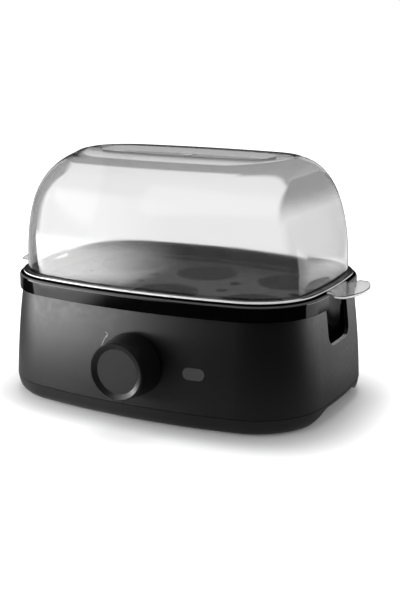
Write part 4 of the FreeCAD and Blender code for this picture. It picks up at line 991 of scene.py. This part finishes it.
def leaning(nodes, links, place, slant):
    """Share along a card, plus its height share times the slant."""
    lean = nodes.new("ShaderNodeMath")
    lean.operation = "MULTIPLY_ADD"
    lean.inputs[1].default_value = slant
    links.new(place["Z"], lean.inputs[0])
    links.new(place["X"], lean.inputs[2])
    return lean.outputs["Value"]


def new_card_material(name):
    material = bpy.data.materials.new(name)
    material.use_nodes = True
    nodes = material.node_tree.nodes
    links = material.node_tree.links
    nodes.remove(nodes["Principled BSDF"])
    return material, nodes, links, place_axes(nodes, links, "Generated")


def glow_where(nodes, links, strength, shares):
    """Glow by the product of the shares, clear where that is nothing."""
    glow = nodes.new("ShaderNodeEmission")
    links.new(strength, glow.inputs["Strength"])
    clear = nodes.new("ShaderNodeBsdfTransparent")
    share = combine_all(nodes, links, "MULTIPLY", shares)
    faded = mix(nodes, links, share, clear.outputs["BSDF"], glow.outputs["Emission"])
    links.new(faded, nodes["Material Output"].inputs["Surface"])


def left_card():
    """Soft light from the left: dim at its foot, brightest low down, fading inwards and upwards."""
    material, nodes, links, place = new_card_material("card_left")
    rise = spread(nodes, links, place["Z"], LEFT_RISE, LEFT_RISE_GLOW)
    high = spread(nodes, links, place["Z"], LEFT_HIGH, LEFT_HIGH_SHARE)
    outer = spread(nodes, links, leaning(nodes, links, place, LEFT_OUTER_SLANT), LEFT_OUTER, FADE_IN)
    low = spread(nodes, links, leaning(nodes, links, place, LEFT_LOW_SLANT), LEFT_LOW, FADE_OUT)
    middle = spread(nodes, links, leaning(nodes, links, place, LEFT_MIDDLE_SLANT), LEFT_MIDDLE, FADE_OUT)
    foot = combine(nodes, links, "MAXIMUM", low, middle)
    inner = spread(nodes, links, place["X"], LEFT_INNER, FADE_OUT)
    top = spread(nodes, links, place["Z"], LEFT_TOP, FADE_OUT)
    glow_where(nodes, links, combine(nodes, links, "MULTIPLY", rise, high), [outer, foot, inner, top])
    return material


def right_card():
    """Light from the right rear, dimmer low down, with soft edges at its foot, far end and slanted top."""
    material, nodes, links, place = new_card_material("card_right")
    strength = spread(nodes, links, place["Z"], RIGHT_RISE, RIGHT_RISE_GLOW)
    far = spread(nodes, links, place["X"], RIGHT_FAR, FADE_IN)
    foot = spread(nodes, links, place["Z"], RIGHT_FOOT, FADE_IN)
    top = spread(nodes, links, leaning(nodes, links, place, RIGHT_TOP_SLANT), RIGHT_TOP, RIGHT_TOP_SHARE)
    glow_where(nodes, links, strength, [far, foot, top])
    return material


def card(name, start, stop, material):
    corners = [(*start, CARD_FOOT), (*stop, CARD_FOOT), (*stop, CARD_HEIGHT), (*start, CARD_HEIGHT)]
    return stage_piece(name, corners, material)


def build_stage():
    half = FLOOR_HALF
    stage_piece("floor", [(-half, -half, 0.0), (half, -half, 0.0), (half, half, 0.0), (-half, half, 0.0)],
                floor_material())
    left = card("card_left", LEFT_CARD_OUTER, LEFT_CARD_INNER, left_card())
    right = card("card_right", RIGHT_CARD_FAR, RIGHT_CARD_NEAR, right_card())
    for piece in (left, right):
        piece.visible_transmission = False
        piece.visible_camera = False


def build_world():
    """White to the camera and through the lid, a soft fill elsewhere, and nearly dark in reflections."""
    world = bpy.data.worlds.new("studio")
    bpy.context.scene.world = world
    world.use_nodes = True
    nodes = world.node_tree.nodes
    links = world.node_tree.links
    back = nodes["Background"]
    back.inputs["Color"].default_value = grey(1.0)
    path = nodes.new("ShaderNodeLightPath")
    white = spread(nodes, links, place_axes(nodes, links, "Generated")["Z"], SKY_RISE, SKY_GLOW)
    through = combine(nodes, links, "MULTIPLY", path.outputs["Is Transmission Ray"], white)
    seen = combine(nodes, links, "MAXIMUM", path.outputs["Is Camera Ray"], through)
    fill = spread(nodes, links, path.outputs["Is Glossy Ray"], WHOLE, (SKY_FILL, SKY_FILL_MIRRORED))
    links.new(combine(nodes, links, "MAXIMUM", seen, fill), back.inputs["Strength"])


def area_lamp(name, place, target, power):
    data = bpy.data.lights.new(name, "AREA")
    data.shape = "RECTANGLE"
    data.size = LAMP_SIZE * MM
    data.size_y = LAMP_SIZE * MM
    data.energy = power
    lamp = bpy.data.objects.new(name, data)
    lamp.location = Vector(place) * MM
    lamp.rotation_euler = (Vector(target) - Vector(place)).to_track_quat("-Z", "Y").to_euler()
    lamp.visible_glossy = False
    lamp.visible_transmission = False
    bpy.context.scene.collection.objects.link(lamp)


def build_lamps():
    area_lamp("lamp_top", TOP_LAMP_PLACE, TOP_LAMP_TARGET, TOP_LAMP_POWER)
    area_lamp("lamp_front", FRONT_LAMP_PLACE, FRONT_LAMP_TARGET, FRONT_LAMP_POWER)


def build_camera():
    data = bpy.data.cameras.new("camera")
    data.lens = CAMERA_LENS
    data.sensor_width = CAMERA_SENSOR
    data.sensor_fit = "AUTO"
    data.clip_start = CLIP_START * MM
    data.clip_end = CLIP_END * MM
    data.dof.use_dof = False
    camera = bpy.data.objects.new("camera", data)
    camera.location = Vector(CAMERA_PLACE) * MM
    aim = Vector(CAMERA_TARGET) - Vector(CAMERA_PLACE)
    camera.rotation_euler = aim.to_track_quat("-Z", "Y").to_euler()
    bpy.context.scene.collection.objects.link(camera)
    bpy.context.scene.camera = camera


dress_outside()
dress_inside()
add_marks()
add_lid()
build_stage()
build_world()
build_lamps()
build_camera()
bpy.context.scene.view_settings.view_transform = "Standard"
